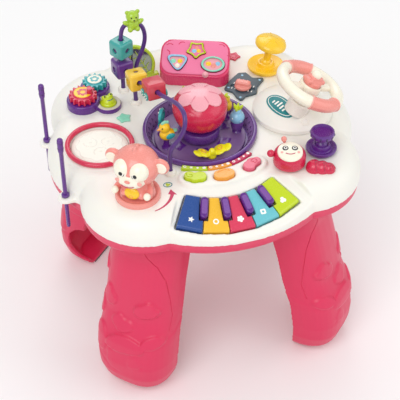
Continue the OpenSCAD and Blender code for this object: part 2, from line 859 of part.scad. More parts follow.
function gear_tip(teeth) = gear_module * teeth / 2 + 0.75 * gear_module;

module gear_outline(teeth) {
    pitch = gear_module * teeth / 2;
    circle(pitch - 0.8 * gear_module);
    for (i = [0:teeth - 1]) rotate(360 * i / teeth) polygon([
        [pitch - gear_module, -0.95 * gear_module], [pitch + 0.7 * gear_module, -0.42 * gear_module],
        [pitch + 0.7 * gear_module, 0.42 * gear_module], [pitch - gear_module, 0.95 * gear_module]
    ]);
}

module gear(teeth, phase) {
    difference() {
        union() {
            rotate(phase) linear_extrude(gear_t) gear_outline(teeth);
            translate([0, 0, gear_t - eps]) cylinder(r = gear_tip(teeth) - 5, h = 1.2);
        }
        translate([0, 0, -1]) cylinder(r = axle_r + running_gap, h = gear_t);
    }
}

module gear_housing() {
    color("rebeccapurple") {
        on_top(red_gear_pos) {
            round_disc(gear_tip(RED_TEETH) + 3, housing_h, 2);
            cylinder(r = axle_r, h = housing_h + gear_t - 1.5);
        }
        on_top(teal_gear_pos) {
            round_disc(gear_tip(TEAL_TEETH) + 3, housing_h, 2);
            cylinder(r = axle_r, h = housing_h + gear_t - 1.5);
        }
        difference() {
            on_top(critter_pos) round_disc(15, housing_h * 0.6, 1.5);
            on_top(critter_pos, 1.5) cylinder(r = 10, h = 20);
        }
    }
}

gear_lift = 0.3;
module gear_red() {
    color("crimson") on_top(red_gear_pos, housing_h + gear_lift) {
        gear(RED_TEETH, teal_gear_a);
        translate([7.5, -3.5, gear_t + 1]) cylinder(r = 3.2, h = 6);
    }
}

module gear_teal() {
    color("mediumturquoise") on_top(teal_gear_pos, housing_h + gear_lift)
        gear(TEAL_TEETH, teal_gear_a + 180 + 180 / TEAL_TEETH);
}

module critter_button() {
    color("yellowgreen") on_top(critter_pos, 3.5) {
        cylinder(r = 9.5, h = 3.5);
        translate([0, 0, 3]) intersection() {
            sphere(8.5);
            cylinder(r = 9, h = 20);
        }
        for (s = [-1, 1]) translate([-2, s * 4.5, 9]) sphere(2.8);
    }
}

// ---- Bead maze: each wire is a chain of straight stretches
// Height of the first bead on the tall wire, and of the top stretch
tall_y = 86;
tall_x = [-70, -42];
tall_top = top_z + tall_wire_h;
TALL_PATH = [
    [tall_x[0], tall_y, top_z], [tall_x[0], tall_y, tall_top - 14], [tall_x[0] + 2, tall_y, tall_top - 5],
    [tall_x[0] + 6, tall_y, tall_top], [tall_x[1] - 4, tall_y, tall_top - 2], [tall_x[1], tall_y, tall_top - 12],
    [tall_x[1] + 1, tall_y, tall_top - 26], [tall_x[1] - 4, tall_y, tall_top - 42],
    [tall_x[1] - 12, tall_y, tall_top - 60], [tall_x[1] - 12, tall_y, top_z]
];
LOW_PATH = [
    [-62, 58, top_z], [-63, 57, top_z + 36], [-65, 54, top_z + 43], [-63, 30, top_z + 47],
    [-53, 27, top_z + 49], [-50, 0, top_z + 52], [-46, -25, top_z + 62], [-41, -48, top_z + 70],
    [-39, -66, top_z + 70], [-40, -73, top_z + 60], [-47, -74, top_z + 44], [-59, -75, top_z + 34],
    [-59, -75, top_z]
];

WIRE_SIDES = 14;
function unit(v) = v / norm(v);
// Direction of a path at one of its points
function heading(path, i) =
    let (a = i > 0 ? unit(path[i] - path[i - 1]) : [0, 0, 0],
         b = i < len(path) - 1 ? unit(path[i + 1] - path[i]) : [0, 0, 0])
    unit(a + b);
// Ring of points around a path's point, widened at a corner to keep the wire's gauge
function wire_ring(path, i, ref) =
    let (t = heading(path, i), u = unit(cross(t, ref)), v = cross(t, u))
    [for (k = [0:WIRE_SIDES - 1])
        let (a = 360 * k / WIRE_SIDES) path[i] + wire_r * (u * cos(a) + v * sin(a))];

// A round wire swept along a path, with the ring's corners laid out from a reference direction
module wire(path, ref) {
    n = WIRE_SIDES;
    last = (len(path) - 1) * n;
    pts = [for (i = [0:len(path) - 1], p = wire_ring(path, i, ref)) p];
    sides = [
        for (i = [0:len(path) - 2], k = [0:n - 1])
            let (a = i * n + k, b = i * n + (k + 1) % n)
            each [[a, b, b + n], [a, b + n, a + n]]
    ];
    polyhedron(pts, concat(sides, [[for (k = [n - 1:-1:0]) k]], [[for (k = [0:n - 1]) last + k]]));
}

// A child turned so that its +Z points along a direction
module aim(d) rotate([0, acos(d[2] / norm(d)), atan2(d[1], d[0])]) children();

module wire_tall() { color("purple") wire(TALL_PATH, [0, 1, 0]); }
module wire_low() { color("purple") wire(LOW_PATH, [1, 0, 0]); }

socket_h = 5;
module wire_sockets() {
    color("ivory") for (path = [TALL_PATH, LOW_PATH], p = [path[0], path[len(path) - 1]])
        translate([p[0], p[1], top_z]) difference() {
            round_disc(6.5, socket_h, 1.5);
            translate([0, 0, -1]) cylinder(r = wire_r + 0.25, h = 20);
        }
}

module bead_bore() cylinder(r = wire_r + bead_play, h = 80, center = true);

module cube_bead(turn) {
    difference() {
        rotate(turn) cube(bead_w, center = true);
        bead_bore();
    }
}

purple_z = 34;
teal_z = 61;
module bead_purple() {
    color("indigo") translate([tall_x[0], tall_y, top_z + purple_z]) cube_bead(12);
}
module bead_teal() {
    color("lightseagreen") translate([tall_x[0], tall_y, top_z + teal_z]) cube_bead(30);
}

// The bear rides on the top stretch of the tall wire
bear_pos = (TALL_PATH[3] + TALL_PATH[4]) / 2;
bear_dir = TALL_PATH[4] - TALL_PATH[3];
module bead_bear() {
    color("limegreen") translate(bear_pos) difference() {
        union() {
            translate([0, 0, -1]) sphere(7.4);
            translate([0, 0, 9]) sphere(7.5);
            for (s = [-1, 1]) {
                translate([s * 6, 0, 15]) sphere(2.6);
                translate([s * 4, -4.5, -5]) sphere(3);
            }
        }
        aim(bear_dir) bead_bore();
    }
}

// Beads halfway along a stretch of the low wire
function middle(i) = (LOW_PATH[i] + LOW_PATH[i + 1]) / 2;
function stretch(i) = LOW_PATH[i + 1] - LOW_PATH[i];
YELLOW_AT = 2;
RED_AT = 4;
module bead_yellow() {
    color("gold") translate(middle(YELLOW_AT)) aim(stretch(YELLOW_AT)) cube_bead(0);
}
module bead_red() {
    color("crimson") translate(middle(RED_AT)) aim(stretch(RED_AT)) difference() {
        cube([bead_w - 4, bead_w - 3, bead_w - 3], center = true);
        bead_bore();
    }
}

// A leaf-shaped mirror that stands behind the wires
leaf_pos = [-31, 104];
leaf_len = 54;
leaf_w = 15;
leaf_lean = 25;
module leaf_mirror() {
    color("yellowgreen") on_top(leaf_pos) rotate([90, -leaf_lean, 0]) {
        linear_extrude(4, center = true) difference() {
            intersection() {
                translate([leaf_w, leaf_len / 2]) circle(2 * leaf_w);
                translate([-leaf_w, leaf_len / 2]) circle(2 * leaf_w);
            }
            circle(1);
        }
        linear_extrude(4, center = true) translate([-5, 3]) square([10, 5]);
    }
    color("yellowgreen") on_top(leaf_pos) translate([-9, -4, 0]) cube([18, 8, 5]);
}

// ---- Picture box with three windows that press
box_slope = atan((box_back_h - box_front_h) / box_d);
WINDOWS = [[1, 10, 11], [-21, -9.5, 13], [22, -9, 13.5]];
window_in = 6;

module on_box() on_top(box_pos) rotate(box_turn) children();

// The box's lid: origin at its middle, +Z out of the slope
module on_lid() {
    on_box() translate([0, 0, (box_front_h + box_back_h) / 2]) rotate([box_slope, 0, 0]) children();
}

module picture_box() {
    color("hotpink") difference() {
        on_box() intersection() {
            translate([0, -box_d / 2, 0]) rotate([90, 0, 90]) linear_extrude(box_w, center = true)
                polygon([[0, 0], [box_d, 0], [box_d, box_back_h], [0, box_front_h]]);
            linear_extrude(60) union() {
                square([box_w - 28, box_d], center = true);
                square([box_w, box_d - 28], center = true);
                for (x = [-1, 1], y = [-1, 1])
                    translate([x * (box_w / 2 - 14), y * (box_d / 2 - 14)]) circle(14);
            }
        }
        on_lid() for (w = WINDOWS) translate([w[0], w[1], -window_in])
            cylinder(r = w[2] + button_gap, h = 30);
    }
}

module window_button(i) {
    w = WINDOWS[i];
    on_lid() translate([w[0], w[1], -window_in + 2]) round_disc(w[2], window_in, 1);
}

module star_button() { color("yellowgreen") window_button(0); }
module pear_button() { color("lightblue") window_button(1); }
module oval_button() { color("aquamarine") window_button(2); }

// ---- Slider on its splash-shaped track
track_a = -35;
track_t = 3;
slider_r = 9;
slot_half = 15;
// The splash's outline: direction and reach of its lobes and of the dents between them
SPLASH = [
    [18.6, 34], [41, 23], [64.2, 31], [82, 30], [120.5, 21], [170.1, 23], [198.5, 15], [228.7, 20],
    [246.7, 26], [263, 17], [308.1, 19.5], [350.5, 18]
];
module track_plate() {
    color("darkslategray") on_top(track_pos) difference() {
        linear_extrude(track_t) offset(3) offset(-3) polygon([for (s = SPLASH) polar(s[1], s[0])]);
        rotate(track_a) translate([0, 0, 1]) linear_extrude(20) {
            square([2 * slot_half - 6, 6], center = true);
            for (s = [-1, 1]) translate([s * (slot_half - 3), 0]) circle(3);
        }
    }
}

module track_slider() {
    color("salmon") on_top(track_pos) rotate(track_a) {
        translate([0, 0, 1.3]) cylinder(r = 2.7, h = 5);
        translate([0, 0, track_t + 0.3]) {
            round_disc(slider_r + 1, 4, 1.5);
            translate([-slider_r, -4.5, 0]) cube([2 * slider_r, 9, 9]);
        }
    }
}

// ---- Joysticks: a ball in a cup, a stem and a knob
ball_z = ball_r + 2;
// The cup closes over the ball's middle and so holds it
cup_h = ball_z + 2;
module cup(r) {
    difference() {
        rotate_extrude() polygon([
            [0, 0], [r - 4, 0], [r, 5], [r, 7], [r - 1.5, 7.5], [ball_r + 4, 5.5],
            [ball_r + 2.5, cup_h], [0, cup_h]
        ]);
        translate([0, 0, ball_z]) sphere(ball_r + running_gap);
    }
}

module yellow_cup() { color("gold") on_top(yellow_joy_pos) cup(yellow_cup_r); }
module purple_cup() { color("rebeccapurple") on_top(purple_joy_pos) cup(purple_cup_r); }

// The yellow stick carries a mushroom cap and rests aslant
yellow_turn = -17;
yellow_lean = 11;
module yellow_stick() {
    color("gold") on_top(yellow_joy_pos, ball_z) rotate([0, yellow_lean, yellow_turn]) {
        sphere(ball_r);
        cylinder(r = 4.5, h = yellow_len - 8);
        translate([0, 0, yellow_len - 12]) round_disc(19, 10, 7);
        translate([0, 0, yellow_len - 4]) cylinder(r = 6, h = 4);
    }
}

// The purple stick carries a spool
module purple_stick() {
    color("indigo") on_top(purple_joy_pos, ball_z) {
        sphere(ball_r);
        cylinder(r = 4, h = purple_len - 3);
        translate([0, 0, purple_len - 7]) round_disc(13.5, 7, 2.5);
    }
}

// ---- Steering wheel on its console
console_rise = console_h - console_side_h;
console_ball = (console_r * console_r + console_rise * console_rise) / (2 * console_rise);
shaft_r = 6;
hub_r = 13;
horn_t = 8;

// The shaft's frame: origin on the console, +Z along the leaning shaft
module on_shaft(h = 0) {
    on_top(console_pos + [-3.4, -20.8], console_h - 3) rotate(wheel_turn) rotate([0, wheel_lean, 0])
        translate([0, 0, h]) children();
}

module wheel_console() {
    color("ivory") difference() {
        union() {
            on_top(console_pos) rotate_extrude() polygon(concat(
                [[0, 0], [console_r - 1.5, 0], [console_r, 1.5]],
                [for (i = [16:-1:0]) let (a = asin(console_r / console_ball) * i / 16)
                    [console_ball * sin(a), console_h - console_ball * (1 - cos(a))]]
            ));
            on_shaft(-6) cylinder(r = 14, h = 16);
        }
        on_shaft(-4) cylinder(r = shaft_r + running_gap, h = 40);
    }
}

module steering_wheel() {
    color("cornsilk") on_shaft() {
        translate([0, 0, -3.5]) cylinder(r = shaft_r, h = shaft_len);
        translate([0, 0, 10.4]) cylinder(r = 10, h = shaft_len - 16);
        translate([0, 0, shaft_len]) {
            rotate_extrude() translate([wheel_r, 0]) circle(rim_t);
            difference() {
                translate([0, 0, -6]) cylinder(r = hub_r, h = 10);
                translate([0, 0, 0]) cylinder(r = horn_r + button_gap, h = 20);
            }
            for (a = [20, 200]) rotate(a) translate([hub_r - 2, -5, -4])
                cube([wheel_r - hub_r, 10, 6]);
        }
    }
}

horn_r = 10.5;
module horn_button() {
    color("salmon") on_shaft(shaft_len + 2.5) {
        cylinder(r = horn_r, h = horn_t - 1);
        translate([-12, -9, 4]) cube([24, 18, horn_t]);
        translate([0, 0, horn_t + 4 - eps]) intersection() {
            sphere(6.5);
            cylinder(r = 7, h = 8);
        }
    }
}

// ---- Worm: a head that presses and a tail of bumps
worm_stem_r = 8;
worm_gap = 2.5;
BUMPS = [[23.3, -15.2, 9], [31.5, -19, 8.5], [38, -22, 7]];
module worm_tail() {
    color("crimson") on_top(worm_pos) for (b = BUMPS) translate([b[0], b[1], 0])
        intersection() {
            translate([0, 0, 1]) sphere(b[2]);
            cylinder(r = b[2] + 1, h = 20);
        }
}

module worm_head() {
    low = -worm_gap - wall - flange_gap - flange_t;
    color("crimson") on_top(worm_pos, worm_gap) {
        round_disc(worm_r, worm_h, worm_h * 0.48);
        translate([0, 0, low]) cylinder(r = worm_stem_r, h = 4 - low);
        translate([0, 0, low]) cylinder(r = worm_stem_r + 2, h = flange_t);
        for (a = [58, 172]) rotate(a) translate([worm_r * 0.62, 0, worm_h - 4]) {
            cylinder(r = 1.6, h = 8);
            translate([0, 0, 8]) sphere(3);
        }
    }
}

// ---- Two raised stars on the top
module star_outline(r) {
    polygon([for (i = [0:9]) polar(i % 2 == 0 ? r : r * 0.5, 36 * i)]);
}

module star_studs() {
    color("aquamarine") on_top([-83, 33]) rotate(20) linear_extrude(1.5) star_outline(9.5);
    color("crimson") on_top([76, 112]) rotate(50) linear_extrude(1.5) star_outline(9.5);
}

top_shell();
under_tray();
front_legs();
rear_legs();
foot_pads();
case_screws();
battery_cover();
batteries();
speaker();
main_board();
power_switch();
key_navy();
key_yellow();
key_pink();
key_teal();
key_lime();
sharp_keys();
button_lime();
button_orange();
button_pink();
carousel_dish();
turntable();
carousel_figures();
dome();
dome_cap();
drum_ring();
drum_pad();
drumstick_front();
drumstick_rear();
monkey_base();
monkey();
gear_housing();
gear_red();
gear_teal();
critter_button();
wire_tall();
wire_low();
wire_sockets();
bead_purple();
bead_teal();
bead_bear();
bead_yellow();
bead_red();
leaf_mirror();
picture_box();
star_button();
pear_button();
oval_button();
track_plate();
track_slider();
yellow_cup();
yellow_stick();
purple_cup();
purple_stick();
wheel_console();
steering_wheel();
horn_button();
worm_tail();
worm_head();
star_studs();
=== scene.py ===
"""Looks of a toddler's musical activity table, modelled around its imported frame.

Sizes are millimetres in the classes and become metres in the mesh. The origin is on the floor under
the table's centre, +Z is up and the keyboard faces -Y.
"""

from __future__ import annotations

import json
import logging
import math
from contextlib import contextmanager
from dataclasses import dataclass
from enum import Enum
from functools import partial
from typing import Any, Callable, Iterator, Sequence

import bpy
from mathutils import Matrix, Vector

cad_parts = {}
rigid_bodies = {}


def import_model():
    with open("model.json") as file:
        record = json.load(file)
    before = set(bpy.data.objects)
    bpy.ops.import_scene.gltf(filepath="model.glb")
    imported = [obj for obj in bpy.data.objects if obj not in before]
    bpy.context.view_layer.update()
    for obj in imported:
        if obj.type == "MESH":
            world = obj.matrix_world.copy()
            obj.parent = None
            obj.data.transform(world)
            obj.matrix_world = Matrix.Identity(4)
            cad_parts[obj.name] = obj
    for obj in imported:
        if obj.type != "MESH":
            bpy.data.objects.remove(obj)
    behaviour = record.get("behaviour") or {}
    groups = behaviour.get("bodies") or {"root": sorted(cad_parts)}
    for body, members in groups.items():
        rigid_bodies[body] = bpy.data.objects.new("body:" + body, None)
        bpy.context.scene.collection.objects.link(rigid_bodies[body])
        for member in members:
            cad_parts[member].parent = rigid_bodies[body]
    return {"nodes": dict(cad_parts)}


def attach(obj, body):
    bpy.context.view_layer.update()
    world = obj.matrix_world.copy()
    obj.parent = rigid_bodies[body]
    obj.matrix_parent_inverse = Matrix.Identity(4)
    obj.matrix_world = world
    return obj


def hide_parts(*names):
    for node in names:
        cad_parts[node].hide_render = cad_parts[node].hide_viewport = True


LOG = logging.getLogger("activity_table")
MM = 0.001
SIDES = (-1, 1)
SMOOTH_ANGLE = math.radians(38)

Obj = bpy.types.Object
Pair = tuple[float, float]
Triple = tuple[float, float, float]
Outline = Sequence[Pair]
HERE: Triple = (0.0, 0.0, 0.0)
ROUND: Triple = (1.0, 1.0, 1.0)


# ---------------------------------------------------------------- measures


def mm(x: float, y: float, z: float = 0.0) -> Vector:
    """A point given in millimetres, as metres."""
    return Vector((x, y, z)) * MM


def polar(radius: float, degrees: float) -> Pair:
    """The plane point at a distance from the origin, in a direction from +X."""
    angle = math.radians(degrees)
    return radius * math.cos(angle), radius * math.sin(angle)


def turned_by(degrees: float, axis: str = "Z") -> Matrix:
    """A turn about one of the axes."""
    return Matrix.Rotation(math.radians(degrees), 4, axis)


def moved_to(x: float, y: float, z: float = 0.0) -> Matrix:
    """A move by a distance in millimetres."""
    return Matrix.Translation(mm(x, y, z))


# ---------------------------------------------------------------- outlines


def rect(left: float, low: float, right: float, high: float) -> list[Pair]:
    """The corners of an upright rectangle."""
    return [(left, low), (right, low), (right, high), (left, high)]


def ring_points(radius: float, count: int = 40, at: Pair = (0.0, 0.0), stretch: float = 1.0) -> list[Pair]:
    """Points around a circle, or around an ellipse when it is stretched along Y."""
    steps = [polar(radius, 360 * i / count) for i in range(count)]
    return [(at[0] + x, at[1] + y * stretch) for x, y in steps]


def scalloped(radius: float, lobes: int, depth: float, count: int = 96, turn: float = 0.0) -> list[Pair]:
    """A round outline with soft lobes, like a flower.

    Args:
        radius: Radius at the lobes' tips.
        lobes: How many lobes.
        depth: How far the creases between the lobes cut in.
        count: How many points.
        turn: Direction of the first lobe, in degrees.

    Returns:
        The points, anticlockwise.
    """
    points = []
    for i in range(count):
        angle = 360 * i / count
        crease = 1 - abs(math.cos(math.radians(lobes * angle / 2)))
        points.append(polar(radius - depth * crease**1.5, angle + turn))
    return points


def starred(radius: float, inner: float, turn: float = 90.0, tips: int = 5) -> list[Pair]:
    """A star's outline, from the radius at its tips and at its inner corners."""
    return [polar(inner if i % 2 else radius, turn + 180 * i / tips) for i in range(2 * tips)]


def rounded(corners: Outline, radius: float, steps: int = 6) -> list[Pair]:
    """An outline with its corners rounded.

    Args:
        corners: The sharp outline, anticlockwise.
        radius: Distance from each corner at which the round begins.
        steps: Points in each round.

    Returns:
        The rounded outline.
    """
    points = []
    for i, corner in enumerate(corners):
        here = Vector(corner)
        before = Vector(corners[i - 1]) - here
        after = Vector(corners[(i + 1) % len(corners)]) - here
        start = here + before.normalized() * min(radius, before.length / 2)
        end = here + after.normalized() * min(radius, after.length / 2)
        for k in range(steps + 1):
            t = k / steps
            p = start * (1 - t) ** 2 + here * 2 * t * (1 - t) + end * t * t
            points.append((p.x, p.y))
    return points


def bow(centre: Pair, radius: float, start: float, end: float, steps: int = 8) -> list[Pair]:
    """Points along an arc between two directions in degrees."""
    arc = [polar(radius, start + (end - start) * i / steps) for i in range(steps + 1)]
    return [(centre[0] + x, centre[1] + y) for x, y in arc]


def sector(near: float, far: float, start: float, end: float) -> list[Pair]:
    """Outline of a stretch of a flat ring between two directions in degrees."""
    return bow((0, 0), far, start, end, 16) + bow((0, 0), near, end, start, 16)


def arched(centre: Pair, across: float, up: float, angles: Sequence[float]) -> list[Pair]:
    """Points of an ellipse at some angles, given in radians."""
    return [(centre[0] + across * math.cos(t), centre[1] + up * math.sin(t)) for t in angles]


def smooth_line(points: Sequence[Sequence[float]], steps: int = 6) -> list[tuple[float, ...]]:
    """A soft line through points.

    Args:
        points: The points in the plane or in space.
        steps: How many stretches between two points.

    Returns:
        The line's points.
    """
    spots = [Vector(p).to_3d() for p in points]
    line = []
    for i in range(len(spots) - 1):
        a, b = spots[i], spots[i + 1]
        before = spots[i - 1] if i else a
        after = spots[i + 2] if i + 2 < len(spots) else b
        lead, trail = a + (b - before) / 6, b - (after - a) / 6
        for k in range(steps):
            t = k / steps
            here = (1 - t) ** 3 * a + 3 * t * (1 - t) ** 2 * lead + 3 * t * t * (1 - t) * trail + t**3 * b
            line.append(tuple(here)[: len(points[0])])
    line.append(tuple(spots[-1])[: len(points[0])])
    return line


# ---------------------------------------------------------------- bench work


def pick(*objects: Obj) -> Obj:
    """Select only these objects and make the first one active.

    Args:
        objects: What to select.

    Returns:
        The first object.
    """
    bpy.ops.object.select_all(action="DESELECT")
    for piece in objects:
        piece.select_set(True)
    bpy.context.view_layer.objects.active = objects[0]
    return objects[0]


@contextmanager
def editing(piece: Obj, part: str = "VERT") -> Iterator[None]:
    """Edit mode on the whole of one piece.

    Args:
        piece: The piece to edit.
        part: VERT, EDGE or FACE.

    Yields:
        Nothing; the operators in the block act on the piece.
    """
    pick(piece)
    bpy.ops.object.mode_set(mode="EDIT")
    bpy.ops.mesh.select_mode(type=part)
    bpy.ops.mesh.select_all(action="SELECT")
    yield
    bpy.ops.object.mode_set(mode="OBJECT")


def close_up(piece: Obj, gap: float = 0.01) -> Obj:
    """Merge a piece's doubled points and turn its faces outwards.

    Args:
        piece: The piece.
        gap: Points nearer than this become one.

    Returns:
        The piece.
    """
    with editing(piece):
        bpy.ops.mesh.remove_doubles(threshold=gap * MM)
        bpy.ops.mesh.normals_make_consistent(inside=False)
    return piece


def put(piece: Obj, *matrices: Matrix) -> Obj:
    """Move a piece and keep its object at the origin, with the place in its mesh.

    Args:
        piece: The piece.
        matrices: The moves, from the outermost to the innermost.

    Returns:
        The piece.
    """
    for matrix in reversed(matrices):
        piece.matrix_world = matrix @ piece.matrix_world
    pick(piece)
    bpy.ops.object.transform_apply(location=True, rotation=True, scale=True)
    return piece


def block(size: Triple, at: Triple = HERE, edge: float = 0.0) -> Obj:
    """A box with round edges.

    Args:
        size: Its three sides.
        at: Its middle.
        edge: Radius of its edges.

    Returns:
        The piece.
    """
    bpy.ops.object.select_all(action="DESELECT")
    bpy.ops.mesh.primitive_cube_add(size=1, location=mm(*at), scale=mm(*size))
    piece = put(bpy.context.active_object)
    if edge:
        with editing(piece, "EDGE"):
            bpy.ops.mesh.bevel(offset=edge * MM, segments=4, affect="EDGES")
    return piece


def ball(radius: float, at: Triple = HERE, squash: Triple = ROUND) -> Obj:
    """A ball, or an egg when it is squashed.

    Args:
        radius: The ball's radius.
        at: Its middle.
        squash: Its scale along the three axes.

    Returns:
        The piece.
    """
    bpy.ops.object.select_all(action="DESELECT")
    bpy.ops.mesh.primitive_uv_sphere_add(
        segments=32, ring_count=20, radius=radius * MM, location=mm(*at), scale=squash
    )
    return put(bpy.context.active_object)


def twins(radius: float, at: Triple, squash: Triple = ROUND) -> list[Obj]:
    """Two balls that mirror each other across the XZ plane."""
    return [ball(radius, (at[0], side * at[1], at[2]), squash) for side in SIDES]


def rod(radius: float, height: float, at: Triple = HERE, edge: float = 0.0) -> Obj:
    """An upright rod with round edges at its ends.

    Args:
        radius: The rod's radius.
        height: Its height.
        at: The middle of its foot.
        edge: Radius of the edges.

    Returns:
        The piece.
    """
    edge = min(edge, radius * 0.98, height * 0.49)
    if not edge:
        return turned([(0, 0), (radius, 0), (radius, height), (0, height)], at)
    low = bow((radius - edge, edge), edge, -90, 0, 5)
    high = bow((radius - edge, height - edge), edge, 0, 90, 5)
    return turned([(0, 0), *low, *high, (0, height)], at)


def hoop(radius: float, gauge: float, at: Triple = HERE) -> Obj:
    """A ring of round section that lies flat.

    Args:
        radius: Radius to the middle of the section.
        gauge: Radius of the section.
        at: The ring's middle.

    Returns:
        The piece.
    """
    bpy.ops.object.select_all(action="DESELECT")
    bpy.ops.mesh.primitive_torus_add(
        major_segments=72, minor_segments=16, major_radius=radius * MM, minor_radius=gauge * MM, location=mm(*at)
    )
    return put(bpy.context.active_object)


def drawn(paths: Sequence[Sequence[Sequence[float]]], closed: bool, flat: bool) -> Obj:
    """A curve through points.

    Args:
        paths: One list of points for each stroke.
        closed: Whether each stroke closes on itself.
        flat: Whether it is a flat curve, whose closed strokes are filled.

    Returns:
        The curve object.
    """
    curve = bpy.data.curves.new("stroke", "CURVE")
    curve.dimensions = "2D" if flat else "3D"
    for path in paths:
        stroke = curve.splines.new("POLY")
        stroke.points.add(len(path) - 1)
        for point, place in zip(stroke.points, path):
            point.co = (*mm(*place), 1.0)
        stroke.use_cyclic_u = closed
    piece = bpy.data.objects.new("stroke", curve)
    bpy.context.scene.collection.objects.link(piece)
    return piece


def as_mesh(piece: Obj) -> Obj:
    """Turn a curve into a mesh.

    Args:
        piece: The curve object.

    Returns:
        The mesh object.
    """
    pick(piece)
    bpy.ops.object.convert(target="MESH")
    return bpy.context.active_object


def turned(profile: Outline, at: Triple = HERE, sides: int = 64) -> Obj:
    """A round piece, spun from its profile about the upright axis.

    Args:
        profile: Radius and height of the profile's points, from the foot to the top.
        at: Where the profile's zero lies.
        sides: How many steps the spin takes.

    Returns:
        The piece.
    """
    piece = as_mesh(drawn([[(r, 0, z) for r, z in profile]], closed=False, flat=False))
    with editing(piece):
        bpy.ops.mesh.spin(steps=sides, angle=2 * math.pi, center=(0, 0, 0), axis=(0, 0, 1))
    return put(close_up(piece), moved_to(*at))


def plate(outlines: Sequence[Outline], thickness: float, edge: float = 0.0, lift: float = 0.0) -> Obj:
    """A flat plate cut to an outline, with holes and round edges.

    Args:
        outlines: The outer outline, and then those of the holes.
        thickness: The plate's thickness.
        edge: Radius of its edges.
        lift: Height of its underside.

    Returns:
        The piece.
    """
    edge = min(edge, thickness * 0.49)
    piece = drawn(outlines, closed=True, flat=True)
    piece.data.fill_mode = "BOTH"
    piece.data.extrude = (thickness / 2 - edge) * MM
    piece.data.bevel_depth = edge * MM
    piece.data.bevel_resolution = 3
    piece.data.offset = -edge * MM
    return put(close_up(as_mesh(piece), 0.002), moved_to(0, 0, lift + thickness / 2))


def tube(path: Sequence[Sequence[float]], gauge: float, closed: bool = False) -> Obj:
    """A round bar along a path.

    Args:
        path: The points of its middle line.
        gauge: Its radius.
        closed: Whether it closes on itself.

    Returns:
        The piece.
    """
    piece = drawn([path], closed=closed, flat=False)
    piece.data.bevel_depth = gauge * MM
    piece.data.bevel_resolution = 4
    piece.data.use_fill_caps = not closed
    return close_up(as_mesh(piece), 0.002)


def refine(piece: Obj, kind: str, **settings: Any) -> Obj:
    """Apply one modifier to a piece.

    Args:
        piece: The piece.
        kind: The modifier's type, such as BEVEL.
        settings: The modifier's values.

    Returns:
        The piece.
    """
    pick(piece)
    modifier = piece.modifiers.new(kind.title(), kind)
    for setting, value in settings.items():
        setattr(modifier, setting, value)
    bpy.ops.object.modifier_apply(modifier=modifier.name)
    return piece


def cut(piece: Obj, cutter: Obj, operation: str = "DIFFERENCE") -> Obj:
    """Cut a piece with another one, which is then thrown away.

    Args:
        piece: The piece.
        cutter: What cuts it.
        operation: DIFFERENCE takes the cutter out, INTERSECT keeps what lies in it.

    Returns:
        The piece.
    """
    refine(piece, "BOOLEAN", operation=operation, object=cutter)
    bpy.data.objects.remove(cutter)
    return piece


def joined(name: str, *pieces: Obj) -> Obj:
    """Make several pieces one.

    Args:
        name: The new piece's name.
        pieces: The pieces.

    Returns:
        The joined piece.
    """
    piece = pick(*pieces)
    if len(pieces) > 1:
        bpy.ops.object.join()
    piece.name = piece.data.name = name
    return piece


def blended(piece: Obj, voxel: float, rounds: int) -> Obj:
    """Fuse a piece's parts into one skin on a grid and soften its edges, as a mould does."""
    refine(piece, "REMESH", mode="VOXEL", voxel_size=voxel * MM)
    return refine(piece, "SMOOTH", factor=0.5, iterations=rounds)


def copy_of(piece: Obj, name: str) -> Obj:
    """A copy of a piece or a frame node, with a mesh of its own.

    Args:
        piece: The piece, or a frame node.
        name: The copy's name.

    Returns:
        The copy.
    """
    twin = bpy.data.objects.new(name, piece.data.copy())
    twin.data.materials.clear()
    bpy.context.scene.collection.objects.link(twin)
    return twin


# ---------------------------------------------------------------- finishes


def srgb(code: str) -> tuple[float, ...]:
    """The linear colour of six hex digits, as on a paint chart, with an alpha of 1."""
    parts = [int(code[i : i + 2], 16) / 255 for i in (0, 2, 4)]
    return (*(c / 12.92 if c <= 0.04045 else ((c + 0.055) / 1.055) ** 2.4 for c in parts), 1.0)


class Skin(Enum):
    """How a surface is finished: roughness, coat weight, coat roughness, metallic."""

    GLOSS = (0.27, 0.35, 0.12, 0.0)
    SATIN = (0.42, 0.12, 0.3, 0.0)
    MATT = (0.62, 0.0, 0.5, 0.0)
    LACQUER = (0.33, 0.6, 0.1, 0.0)
    RUBBER = (0.75, 0.0, 0.5, 0.0)
    COATED = (0.36, 0.25, 0.2, 0.0)
    PRINT = (0.38, 0.1, 0.25, 0.0)
    STEEL = (0.3, 0.0, 0.3, 1.0)
    MIRROR = (0.12, 0.2, 0.1, 0.85)


FLOAT, COLOUR = "NodeSocketFloat", "NodeSocketColor"
GREY = (0.8, 0.8, 0.8, 1.0)
WHITE = (1.0, 1.0, 1.0, 1.0)
DARKER = (0.86, 0.84, 0.84, 1.0)
FIBRE_BROWN = (0.25, 0.12, 0.06, 1.0)


